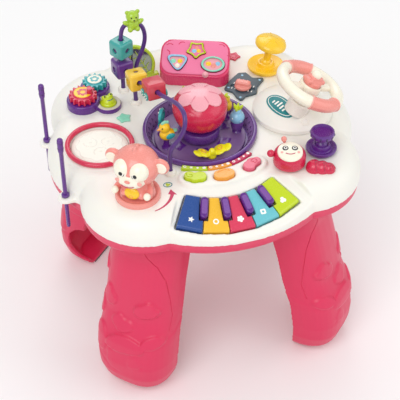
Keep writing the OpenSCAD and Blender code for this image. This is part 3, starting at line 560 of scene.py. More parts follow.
class Links:
    """Nodes and links of one node tree, added in the order of the work."""

    def __init__(self, tree: bpy.types.NodeTree) -> None:
        """Start on a material's tree or a group's."""
        self.tree = tree

    @classmethod
    def group(cls, name: str, inputs: dict[str, Any], outputs: Sequence[str]) -> Links:
        """Start a node group; what is called Colour is a colour, all else a number.

        Args:
            name: The group's name.
            inputs: The default of each input.
            outputs: The outputs' names.

        Returns:
            The group's links, with its ends named Group Input and Group Output.
        """
        links = cls(bpy.data.node_groups.new(name, "ShaderNodeTree"))
        new_socket = links.tree.interface.new_socket
        for label, default in inputs.items():
            kind = COLOUR if label == "Colour" else FLOAT
            new_socket(name=label, in_out="INPUT", socket_type=kind).default_value = default
        for label in outputs:
            new_socket(name=label, in_out="OUTPUT", socket_type=COLOUR if label == "Colour" else FLOAT)
        links.node("NodeGroupInput")
        links.node("NodeGroupOutput")
        return links

    def ends(self) -> tuple[Any, Any]:
        """The sockets that a group's inside reads, and those that it fills."""
        nodes = self.tree.nodes
        return nodes["Group Input"].outputs, nodes["Group Output"].inputs

    def node(self, kind: str, **settings: Any) -> bpy.types.Node:
        """Add a node.

        Args:
            kind: The node's type.
            settings: Its properties; a name that starts with in_ sets an input.

        Returns:
            The node.
        """
        step = self.tree.nodes.new(kind)
        for setting, value in settings.items():
            if setting.startswith("in_"):
                self.feed(step.inputs[setting[3:].replace("_", " ")], value)
            else:
                setattr(step, setting, value)
        return step

    def feed(self, socket: bpy.types.NodeSocket, value: Any) -> None:
        """Fill a socket.

        Args:
            socket: The socket that takes.
            value: What it takes: a number, a colour or another socket.
        """
        if isinstance(value, bpy.types.NodeSocket):
            self.tree.links.new(value, socket)
        else:
            socket.default_value = value

    def maths(self, operation: str, *values: Any, clamp: bool = False) -> bpy.types.NodeSocket:
        """Add a Math node.

        Args:
            operation: What it does.
            values: Numbers or sockets for its inputs.
            clamp: Whether its result stays between 0 and 1.

        Returns:
            Its output.
        """
        step = self.node("ShaderNodeMath", operation=operation, use_clamp=clamp)
        for socket, value in zip(step.inputs, values):
            self.feed(socket, value)
        return step.outputs[0]

    def mix(self, share: Any, first: Any, second: Any, kind: str = "MIX") -> bpy.types.NodeSocket:
        """Add a colour mix.

        Args:
            share: How much of the second colour, a number or a socket.
            first: The first colour, a value or a socket.
            second: The second colour, a value or a socket.
            kind: The blend type.

        Returns:
            The mixed colour's socket.
        """
        step = self.node("ShaderNodeMix", data_type="RGBA", blend_type=kind)
        for number, value in zip((0, 6, 7), (share, first, second)):
            self.feed(step.inputs[number], value)
        return step.outputs[2]

    def noise(self, scale: Any, detail: float, roughness: float = 0.5, where: Any = None) -> bpy.types.NodeSocket:
        """Add a noise on Object coordinates.

        Args:
            scale: Its scale, a number or a socket.
            detail: How many finer layers it has.
            roughness: How strong the finer layers are.
            where: The coordinates, if others are wanted.

        Returns:
            Its value.
        """
        where = where or self.node("ShaderNodeTexCoord").outputs["Object"]
        step = self.node(
            "ShaderNodeTexNoise", in_Scale=scale, in_Detail=detail, in_Roughness=roughness, in_Vector=where
        )
        return step.outputs["Fac"]


def moulding_group() -> Links:
    """Fine grain, slow ripples and a slight change of tint, as on a moulded skin.

    Returns:
        The group, with the outputs Colour, Roughness and Height.
    """
    inputs = {"Colour": GREY, "Grain Scale": 900.0, "Variation": 0.04, "Roughness": 0.3}
    links = Links.group("Moulding", inputs, ("Colour", "Roughness", "Height"))
    enter, leave = links.ends()
    grain = links.noise(enter["Grain Scale"], 3.0, 0.6)
    ripple = links.noise(28.0, 2.0)
    cloud = links.noise(9.0, 3.0, 0.55)
    shade = links.maths("MULTIPLY", links.maths("SUBTRACT", cloud, 0.5), enter["Variation"])
    darker = links.mix(1.0, enter["Colour"], DARKER, "MULTIPLY")
    share = links.maths("ADD", links.maths("MULTIPLY", shade, 4.0), enter["Variation"], clamp=True)
    links.feed(leave["Colour"], links.mix(share, enter["Colour"], darker))
    rough = links.maths("MULTIPLY", links.maths("SUBTRACT", grain, 0.5), 0.1)
    rough = links.maths("ADD", rough, links.maths("MULTIPLY", shade, 1.2))
    links.feed(leave["Roughness"], links.maths("ADD", enter["Roughness"], rough))
    links.feed(leave["Height"], links.maths("ADD", links.maths("MULTIPLY", grain, 0.12), ripple))
    return links


def edge_highlight_group() -> Links:
    """A mask of the convex edges, lightened towards white as a painted highlight.

    Returns:
        The group, with the outputs Colour and Mask.
    """
    links = Links.group("Rubbed Edges", {"Colour": GREY, "Amount": 0.15}, ("Colour", "Mask"))
    enter, leave = links.ends()
    ridge = links.node("ShaderNodeNewGeometry").outputs["Pointiness"]
    reach = links.node("ShaderNodeMapRange", clamp=True, in_Value=ridge, in_From_Min=0.52, in_From_Max=0.62)
    broken = links.maths("MULTIPLY", reach.outputs["Result"], links.noise(160.0, 3.0))
    mask = links.maths("MULTIPLY", broken, enter["Amount"], clamp=True)
    # Painted highlight: the convex edges are mixed towards white.
    links.feed(leave["Colour"], links.mix(mask, enter["Colour"], WHITE))
    links.feed(leave["Mask"], mask)
    return links


def grain_group() -> Links:
    """Faint wood grain that shows through a lacquer.

    Returns:
        The group, with the outputs Colour and Height.
    """
    links = Links.group("Lacquered Grain", {"Colour": GREY, "Depth": 0.12}, ("Colour", "Height"))
    enter, leave = links.ends()
    where = links.node("ShaderNodeTexCoord").outputs["Object"]
    squeeze = links.node("ShaderNodeMapping", in_Scale=(420.0, 420.0, 40.0), in_Vector=where)
    fibres = links.noise(1.0, 4.0, 0.6, squeeze.outputs["Vector"])
    share = links.maths("MULTIPLY", fibres, enter["Depth"])
    links.feed(leave["Colour"], links.mix(share, enter["Colour"], FIBRE_BROWN))
    links.feed(leave["Height"], fibres)
    return links


GROUP_MAKERS: dict[str, Callable[[], Links]] = {
    "Moulding": moulding_group,
    "Rubbed Edges": edge_highlight_group,
    "Lacquered Grain": grain_group,
}


@dataclass(frozen=True)
class Finish:
    """One finish: its colour, how it is surfaced and the record's slot that it stands for."""

    name: str
    colour: str
    slot: str
    skin: Skin = Skin.GLOSS
    grain: float = 900.0
    variation: float = 0.05
    relief: float = 0.00004
    # Strength of the painted highlight on the convex edges.
    edge_highlight: float = 0.12
    under: float = 0.0

    def placed(self, links: Links, group: str, **settings: Any) -> Any:
        """Put a node group, made once, into the material's tree and give its outputs."""
        tree = bpy.data.node_groups.get(group) or GROUP_MAKERS[group]().tree
        return links.node("ShaderNodeGroup", node_tree=tree, **settings).outputs

    def material(self) -> bpy.types.Material:
        """The finish as a procedural material, made once.

        Returns:
            The material.
        """
        known = bpy.data.materials.get(self.name)
        if known:
            return known
        material = bpy.data.materials.new(self.name)
        material.use_nodes = True
        links = Links(material.node_tree)
        shader = material.node_tree.nodes["Principled BSDF"].inputs
        roughness, coat, coat_roughness, metallic = self.skin.value
        shader["Metallic"].default_value = metallic
        shader["Coat Weight"].default_value = coat
        shader["Coat Roughness"].default_value = coat_roughness
        if self.under:
            shader["Subsurface Weight"].default_value = self.under
            shader["Subsurface Radius"].default_value = (0.004, 0.003, 0.002)
            shader["Subsurface Scale"].default_value = 1.0
        moulding = self.placed(
            links, "Moulding", in_Colour=srgb(self.colour), in_Grain_Scale=self.grain,
            in_Variation=self.variation, in_Roughness=roughness,
        )
        colour, height = moulding["Colour"], moulding["Height"]
        if self.skin is Skin.LACQUER:
            fibres = self.placed(links, "Lacquered Grain", in_Colour=colour)
            colour, height = fibres["Colour"], fibres["Height"]
        # Painted highlight on the convex edges, lightening the base colour.
        edges = self.placed(links, "Rubbed Edges", in_Amount=self.edge_highlight, in_Colour=colour)
        bump = links.node("ShaderNodeBump", in_Strength=0.35, in_Distance=self.relief, in_Height=height)
        links.feed(shader["Base Color"], edges["Colour"])
        links.feed(shader["Roughness"], moulding["Roughness"])
        links.feed(shader["Normal"], bump.outputs["Normal"])
        return material

    def dress(self, piece: Obj) -> Obj:
        """Give a piece this finish all over.

        Args:
            piece: The piece, or a frame node.

        Returns:
            The piece.
        """
        if piece.material_slots:
            for place in piece.material_slots:
                place.material = self.material()
        else:
            piece.data.materials.append(self.material())
        return piece


IVORY = Finish("Ivory shell", "F3F1E9", "ivory_shell", Skin.SATIN, variation=0.03, edge_highlight=0.0, under=0.08)
IVORY_TRIM = Finish("Ivory trim", "F5F2E8", "ivory_trim", variation=0.03, edge_highlight=0.0, under=0.05)
CRIMSON_CASE = Finish("Crimson case", "DC2A58", "crimson_case", Skin.SATIN, variation=0.06, edge_highlight=0.1)
CRIMSON = Finish("Crimson gloss", "D2204A", "crimson")
PURPLE = Finish("Purple gloss", "5B1F84", "purple")
DEEP_PURPLE = Finish("Deep purple", "40155F", "purple")
LAVENDER = Finish("Lavender bowl", "8F6BA9", "lavender", Skin.SATIN)
MAUVE = Finish("Mauve floor", "7A5590", "lavender", Skin.SATIN)
LIME = Finish("Lime gloss", "C6DB16", "lime")
ORANGE = Finish("Orange gloss", "F5A73C", "orange")
PINK = Finish("Pink button", "E2607C", "pink")
BOX_PINK = Finish("Box pink", "DE3468", "pink")
BOX_TOP = Finish("Box lid pink", "F07BA4", "pink", Skin.SATIN)
PALE_PINK = Finish("Pale pink cap", "F3A9B4", "pale_pink")
SKIN_WHITE = Finish("Drum skin", "F4F1E6", "drum_skin", Skin.SATIN, variation=0.03, edge_highlight=0.0)
SALMON = Finish("Salmon satin", "F0958A", "salmon")
TEAL = Finish("Teal gloss", "2CA9AE", "teal")
LABEL_TEAL = Finish("Teal label", "15858A", "teal", Skin.PRINT)
WIRE = Finish("Coated wire", "4B1B78", "wire_purple", Skin.COATED, grain=1500)
LEAF_LIME = Finish("Leaf lime", "C4E02A", "leaf_lime")
FOIL = Finish("Mirror foil", "A9B5AC", "leaf_lime", Skin.MIRROR, edge_highlight=0.0)
SKY = Finish("Sky blue", "8FC9E8", "light_blue")
MINT = Finish("Mint gloss", "8FDCC0", "mint")
SLATE = Finish("Slate plate", "455763", "slate", Skin.SATIN)
YELLOW = Finish("Yellow gloss", "FACB20", "yellow")
SUN = Finish("Sun yellow", "F6EE1C", "yellow")
CREAM = Finish("Cream gloss", "F7F2DF", "cream", variation=0.03, edge_highlight=0.0, under=0.05)
BEIGE = Finish("Beige recess", "CFC8B8", "cream", Skin.SATIN)
WHITE_PRINT = Finish("White print", "FBFAF4", "ivory_trim", Skin.PRINT, edge_highlight=0.0)
RED_PRINT = Finish("Crimson print", "C21E55", "crimson", Skin.PRINT, edge_highlight=0.0)
LIME_PRINT = Finish("Lime print", "B9D21E", "lime", Skin.PRINT, edge_highlight=0.0)
ORANGE_PRINT = Finish("Orange print", "E79A33", "orange", Skin.PRINT, edge_highlight=0.0)
BLACK = Finish("Black moulding", "1B1A1E", "switch_black", Skin.SATIN)
BLUSH = Finish("Blush", "F4A9A0", "salmon", Skin.PRINT, edge_highlight=0.0)
RUBBER = Finish("Foot rubber", "2A2A2D", "rubber_pads", Skin.RUBBER, grain=600)
STEEL = Finish("Screw steel", "B9BABD", "screw_steel", Skin.STEEL, grain=1800)
SLEEVE = Finish("Cell sleeve", "C79A2B", "cell_sleeve")
CONE = Finish("Speaker cone", "37373B", "speaker_cone", Skin.MATT)
BOARD = Finish("Solder mask", "1F6B45", "board_green", Skin.SATIN)
WOOD_PURPLE = Finish("Lacquered purple", "5B2088", "wood_purple", Skin.LACQUER)
WOOD_TEAL = Finish("Lacquered teal", "1FA5A0", "wood_teal", Skin.LACQUER)
WOOD_YELLOW = Finish("Lacquered yellow", "F8CB26", "wood_yellow", Skin.LACQUER)
WOOD_RED = Finish("Lacquered red", "CF2A45", "wood_red", Skin.LACQUER)
WOOD_LIME = Finish("Lacquered lime", "A9D02C", "wood_lime", Skin.LACQUER)
KEY_NAVY = Finish("Navy key", "1F4C95", "key_navy")
KEY_YELLOW = Finish("Yellow key", "F6BE2C", "key_yellow")
KEY_PINK = Finish("Pink key", "DB3A5C", "key_pink")
KEY_TEAL = Finish("Teal key", "6CC4CF", "key_teal")
KEY_LIME = Finish("Lime key", "C3D916", "key_lime")
SHARP_TOP = Finish("Sharp's top", "7D4FA0", "purple")
CAP_SHADE = Finish("Cap shade", "E58A9B", "pale_pink")
VEIN_RED = Finish("Vein red", "B01240", "crimson")


# ---------------------------------------------------------------- the table's pieces

TOP = 270.0
DISH = polar(17, -114)
MONKEY = polar(141, -136)
CONSOLE = polar(107, -6)
DISH_STAND = moved_to(*DISH, TOP)
DRUM_STAND = moved_to(*polar(122, 184.5), TOP)
WORM_STAND = moved_to(*polar(121, -55), TOP)
YELLOW_CUP = moved_to(*polar(131, 36.5), TOP)
PURPLE_CUP = moved_to(*polar(142, -38.5), TOP)
SLOPE = moved_to(-4.5, -112, TOP) @ turned_by(22, "X") @ moved_to(0, 79.93)
LID = moved_to(20.04, 90.4, TOP) @ turned_by(-22) @ moved_to(0, 0, 25) @ turned_by(23.05, "X")
TRACK = moved_to(65.5, 45.9, TOP) @ turned_by(-35)
SHAFT = moved_to(103.01, -31.99, 291) @ turned_by(-9) @ turned_by(25, "Y")
MONKEY_SEAT = moved_to(*MONKEY, 276) @ turned_by(-127)
MONKEY_HEAD = MONKEY_SEAT @ moved_to(0, 0, 35)
GROWN = Matrix.Scale(1.25, 4)
UPRIGHT = Matrix(((0, 0, 1, 0), (1, 0, 0, 0), (0, 1, 0, 0), (0, 0, 0, 1)))


@dataclass
class Assembly:
    """What every sub-assembly shares: the frame's nodes and the body that it rides on."""

    nodes: dict[str, Obj]
    body: str = "table"

    def add(
        self,
        name: str,
        finish: Finish,
        *parts: Obj,
        seat: Matrix = Matrix(),
        soft: Pair | None = None,
        body: str = "",
        node: str = "",
    ) -> None:
        """Make parts one finished piece, dress it and join it to its body.

        Args:
            name: The piece's name.
            finish: Its finish.
            parts: What it is made of.
            seat: Its place.
            soft: Grid size and rounds of smoothing, where the parts fuse into one skin.
            body: The body that it rides on, if not the assembly's own.
            node: The frame node that it replaces.
        """
        piece = joined(name, *parts)
        if soft:
            blended(piece, *soft)
        finish.dress(put(piece, seat))
        bpy.ops.object.shade_smooth_by_angle(angle=SMOOTH_ANGLE)
        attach(piece, body or self.body)
        if node:
            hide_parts(node)
        LOG.info("%s rides on %s", piece.name, body or self.body)

    def keep(self, node: str, finish: Finish) -> None:
        """Give a frame node that stays its finish."""
        finish.dress(self.nodes[node])
        LOG.info("%s keeps its own mesh", node)

    def cast(self, node: str, voxel: float, rounds: int) -> Obj:
        """A soft-edged cast of a frame node, from its grid size and rounds of smoothing."""
        return blended(close_up(copy_of(self.nodes[node], f"{node}_cast")), voxel, rounds)

    def recast(self, node: str, finish: Finish, voxel: float, rounds: int, body: str = "") -> None:
        """Replace a frame node by its soft cast."""
        self.add(f"{node}_cast", finish, self.cast(node, voxel, rounds), body=body, node=node)


@dataclass
class TopShell(Assembly):
    """The lobed shell with its prints and the label strip along the dish."""

    kept_share: float = 0.62
    strip_near: float = 65.7
    strip_middle: float = 68.6
    strip_far: float = 71.6
    print_foot: float = 269.9
    print_depth: float = 0.4

    LABELS = (("lime", -124, -100.5, LIME_PRINT), ("orange", -100, -78, ORANGE_PRINT), ("red", -77.5, -54, RED_PRINT))
    DOTS = (
        [ring_points(1.7, 24), ring_points(0.9, 24)],
        [starred(2.1, 1.0)],
        [ring_points(1.3, 20)],
        [scalloped(2.0, 5, 0.8, 40)],
    )
    ARROW_HEAD = [(39.4, -12.4), (35.4, -2.6), (30.6, -9.2)]

    def build(self) -> None:
        """Cast the shell soft, then lay its prints on it."""
        shell = refine(self.cast("top_shell", 1.4, 7), "DECIMATE", ratio=self.kept_share)
        self.add("top_shell_cast", IVORY, shell, node="top_shell")
        self.keep("under_tray", CRIMSON_CASE)
        dish = moved_to(*DISH)
        for label, start, end, finish in self.LABELS:
            strip = plate([sector(self.strip_near, self.strip_far, start, end)], 4.6, 0.7, 269.8)
            self.add(f"label_{label}", finish, strip, seat=dish)
            dots = []
            for i, shape in enumerate(self.DOTS):
                direction = start + (end - start) * (i + 0.5) / len(self.DOTS)
                dots.append(put(plate(shape, 0.3, lift=274.4), moved_to(*polar(self.strip_middle, direction))))
            self.add(f"label_dots_{label}", WHITE_PRINT, *dots, seat=dish)
        self.arrow()
        self.badge()

    def printed(self, *outlines: Outline) -> Obj:
        """A thin print on the shell's face."""
        return plate(outlines, self.print_depth, 0.1, self.print_foot)

    def arrow(self) -> None:
        """The printed arrow around the monkey's base."""
        outer, inner = [], []
        for i in range(19):
            share = i / 18
            direction, middle, half = -71.5 + 54.5 * share, 32.2 + 4.2 * share, 0.4 + 1.5 * share
            outer.append(polar(middle + half, direction))
            inner.append(polar(middle - half, direction))
        arrow = self.printed(outer + self.ARROW_HEAD + inner[::-1])
        self.add("turn_arrow", RED_PRINT, arrow, seat=moved_to(*MONKEY))

    def badge(self) -> None:
        """A plain round badge beside the monkey."""
        place = moved_to(-66.9, -92.5)
        ring = self.printed(ring_points(5, 40, stretch=0.8), ring_points(4.1, 40, stretch=0.76))
        self.add("round_badge", LABEL_TEAL, ring, seat=place)
        self.add("round_badge_leaf", LIME_PRINT, self.printed(scalloped(2.7, 3, 1.2)), seat=place)


@dataclass
class Legs(Assembly):
    """Four boot-shaped legs with a puffy relief of clouds, bushes and mushrooms."""

    groove_gauge: float = 0.75
    hill_growth: float = 1.0
    most_triangles: int = 190_000

    PAIRS = {"front_legs": (225, 315), "rear_legs": (135, 45)}
    PUFFS = {
        1.2: [
            [(23.5, 86), (36, 86), (35, 57), (34, 54), (24, 54)],
            [(-21.5, 66), (-13, 64), (-13, 72), (20, 78), (25, 76), (23, 54), (-4.5, 36), (-21, 42)],
        ],
        2.2: [
            [(-22, 103), (-19, 110), (-11, 115), (-4, 108), (3, 110), (9, 103), (5, 98), (-8, 93)],
            [(-40, 127), (-34, 143), (-28, 143), (-24, 135), (-17, 131), (-20, 122), (-33, 118)],
            [(-43, 56), (-43, 86), (-37, 93), (-29, 89), (-24, 79), (-26, 64), (-34, 55)],
            [(7, 50), (7.5, 62), (14, 68), (21, 65), (22.5, 54)],
            [(-50, 150), (-50, 168), (-42, 168), (-38, 158), (-42, 150)],
            [(-50, 98), (-50, 118), (-41, 118), (-37, 108), (-40, 98)],
        ],
        3.2: [
            [
                (4.5, 126), (9, 133), (15, 134), (20, 140), (28, 138), (31, 132), (37, 129), (33, 122), (19, 118),
                (8, 119),
            ],
            [(-24, 70), (-23, 82), (-12, 90), (3, 92), (17, 89), (27, 80), (22, 74), (-4, 69)],
            [(20, 84), (23, 93), (32, 98), (41, 96), (45, 88), (38, 83), (26, 82)],
        ],
    }
    FRONT_HILL = [
        (-60, 0), (-60, 66), (-40, 50), (-21, 40), (-6, 34), (17, 51), (34, 55), (37, 80), (42, 86), (60, 98), (60, 0),
    ]
    SIDE_HILL = [(60, 0), (60, 118), (105, 116), (132, 100), (150, 92), (163, 84), (200, 80), (200, 0)]
    GROOVE = [(8, 204), (15.4, 194), (26.9, 184), (35.6, 166), (40.6, 139), (43.2, 116), (43.4, 97)]

    def build(self) -> None:
        """Build the front pair and the rear pair."""
        for node, angles in self.PAIRS.items():
            legs = [self.leg(leg, angle) for leg, angle in zip(self.parted(node), angles)]
            self.add(f"{node}_cast", CRIMSON_CASE, self.thinned(joined(f"{node}_cast", *legs)), node=node)
        self.keep("foot_pads", RUBBER)

    def parted(self, node: str) -> list[Obj]:
        """Part a pair of legs.

        Args:
            node: The pair's frame node.

        Returns:
            The two legs, the left one first.
        """
        both = close_up(copy_of(self.nodes[node], f"{node}_part"))
        with editing(both):
            bpy.ops.mesh.separate(type="LOOSE")
        legs = [leg for leg in bpy.context.scene.objects if leg.name.startswith(both.name)]
        return sorted(legs, key=lambda leg: sum(corner[0] for corner in leg.bound_box))

    def thinned(self, legs: Obj) -> Obj:
        """A pair of legs with no more triangles than its STL file may hold."""
        legs.data.calc_loop_triangles()
        return refine(legs, "DECIMATE", ratio=min(1.0, self.most_triangles / len(legs.data.loop_triangles)))

    def leg(self, leg: Obj, angle: float) -> Obj:
        """Give one leg its relief and its soft skin.

        Args:
            leg: The leg.
            angle: The direction in which it stands.

        Returns:
            The leg.
        """
        side = 1 if angle in (225, 45) else -1
        put(leg, turned_by(-angle))
        patches = []
        for growth, outlines in self.PUFFS.items():
            prisms = [self.prism(rounded(line, 4, 3), side) for line in outlines]
            patches += self.patches(leg, growth, prisms)
        side_hill = plate([rounded(self.SIDE_HILL, 9)], 60, lift=-30)
        put(side_hill, moved_to(0, side * 70) @ turned_by(90, "X"))
        patches += self.patches(leg, self.hill_growth, [self.prism(rounded(self.FRONT_HILL, 7), side), side_hill])
        leg = blended(joined(leg.name, leg, *patches), 1.4, 4)
        line = self.on_skin(leg, [(side * y, z) for y, z in self.GROOVE])
        return put(cut(leg, tube(line, self.groove_gauge)), turned_by(angle))

    def prism(self, outline: Outline, side: int) -> Obj:
        """A deep prism through a leg's outer face, mirrored on one side."""
        mirrored = [(side * y, z) for y, z in outline][::side]
        return put(plate([mirrored], 160, lift=100), UPRIGHT)

    def patches(self, leg: Obj, growth: float, prisms: Sequence[Obj]) -> list[Obj]:
        """Cut patches out of grown copies of a leg.

        Args:
            leg: The leg.
            growth: How far the patches stand out.
            prisms: What cuts them.

        Returns:
            The patches.
        """
        patches = []
        for prism in prisms:
            patch = refine(copy_of(leg, "patch"), "DISPLACE", strength=growth * MM, mid_level=0.0)
            patches.append(cut(patch, prism, "INTERSECT"))
        return patches

    def on_skin(self, leg: Obj, line: Sequence[Pair]) -> list[Triple]:
        """Where a line drawn on the outer face meets a leg's skin.

        Args:
            leg: The leg, standing along +X.
            line: Its points, as sideways place and height.

        Returns:
            The points on the skin.
        """
        hits = (leg.ray_cast(mm(260, sideways, height), Vector((-1, 0, 0))) for sideways, height in line)
        return [tuple(place / MM) for met, place, _normal, _face in hits if met]


@dataclass
class Keyboard(Assembly):
    """Five soft keys with a plain white sign each, and four raised sharps."""

    pitch: float = 12.4
    sign_reach: float = 122.5
    sharp_reach: float = 95.0

    SIGNS = {
        "key_navy": (KEY_NAVY, [starred(3.6, 1.7)]),
        "key_yellow": (KEY_YELLOW, [ring_points(3.2, 32), ring_points(1.8, 32)]),
        "key_pink": (KEY_PINK, [scalloped(3.8, 5, 1.3)]),
        "key_teal": (KEY_TEAL, [rounded(rect(-3, -3, 3, 3), 1.5), ring_points(1.3, 24)]),
        "key_lime": (KEY_LIME, [scalloped(3.6, 3, 1.5, turn=90)]),
    }
    INLAY = [rounded(rect(-2.9, -20.8, 2.9, -3.6), 2.4)]

    def build(self) -> None:
        """Build the keys, their signs and the sharps."""
        for i, (node, (finish, sign)) in enumerate(self.SIGNS.items()):
            self.recast(node, finish, 0.55, 7, node)
            seat = SLOPE @ turned_by((i - 2) * self.pitch) @ moved_to(0, -self.sign_reach) @ turned_by(-12)
            self.add(f"sign_{node[4:]}", WHITE_PRINT, plate(sign, 0.5, 0.1, 1.75), seat=seat, body=node)
        self.recast("sharp_keys", PURPLE, 0.5, 5)
        lights = []
        for i in range(4):
            place = turned_by((i - 1.5) * self.pitch) @ moved_to(0, -self.sharp_reach)
            lights.append(put(plate(self.INLAY, 0.7, 0.2, 5.65), place))
        self.add("sharp_lights", SHARP_TOP, *lights, seat=SLOPE)


@dataclass
class PushButtons(Assembly):
    """Three puffy buttons on the arched plinth."""

    reach: float = 84.0
    curl_height: float = 6.9
    curl_gauge: float = 0.7

    CURLS = {
        "button_lime": (-111, LIME, [(-9.5, 3.5), (-8.5, -1.5), (-4.5, -3), (-2.5, -0.6), (-4.2, 1.2), (-6, 0.4)]),
        "button_orange": (-89, ORANGE, [(-7, 2), (-3, 4.4), (3, 4.4), (7, 2)]),
        "button_pink": (-65, PINK, [(1, -3), (5, -2.6), (7, 0.6), (5, 3.4), (1.6, 2.6), (1.4, 0), (3.4, -0.4)]),
    }

    def build(self) -> None:
        """Build each button and cut its curl."""
        for node, (direction, finish, curl) in self.CURLS.items():
            path = [(x, y, self.curl_height) for x, y in smooth_line(curl)]
            station = DISH_STAND @ turned_by(direction + 90) @ moved_to(0, -self.reach)
            button = cut(self.cast(node, 0.5, 9), put(tube(path, self.curl_gauge), station))
            self.add(f"{node}_cast", finish, button, body=node, node=node)


@dataclass
class Dish(Assembly):
    """The purple dish with its pale wall, and the collar around its spindle."""

    teeth: int = 44
    zigzag_gauge: float = 0.75

    RIM = [
        (16, -11), (58, -11), (58, 0.3), (64.3, 0.3), (65, 1.3), (65, 4.6), (64.4, 6.3), (62.8, 7), (60.9, 6.6),
        (58.8, 3.2), (56.1, -0.6), (55.1, -8), (16, -8), (16, 10), (12.6, 10), (12.6, -11),
    ]
    WALL = [(54.6, -7.9), (55.9, -0.6), (58.4, 3), (60.3, 6.4)]
    COLLAR = [
        (12.6, 9.9), (16.4, 9.9), (21.4, 8.9), (22.5, 7.4), (22.5, -1.4), (21.7, -2.5), (15.8, -2.5), (15.8, 8),
        (12.6, 8),
    ]

    def build(self) -> None:
        """Build the dish, its wall's zigzag and the collar."""
        add = partial(self.add, seat=DISH_STAND)
        add("dish", PURPLE, turned(self.RIM, sides=128), node="carousel_dish")
        add("dish_liner", LAVENDER, turned(self.WALL, sides=128))
        zigzag = []
        for i in range(2 * self.teeth):
            radius, z = (58.6, 3.6) if i % 2 else (55.2, -4.6)
            zigzag.append((*polar(radius, 180 * i / self.teeth), z))
        add("dish_zigzag", DEEP_PURPLE, tube(zigzag, self.zigzag_gauge, closed=True))
        add("spindle_collar", PURPLE, turned(self.COLLAR))


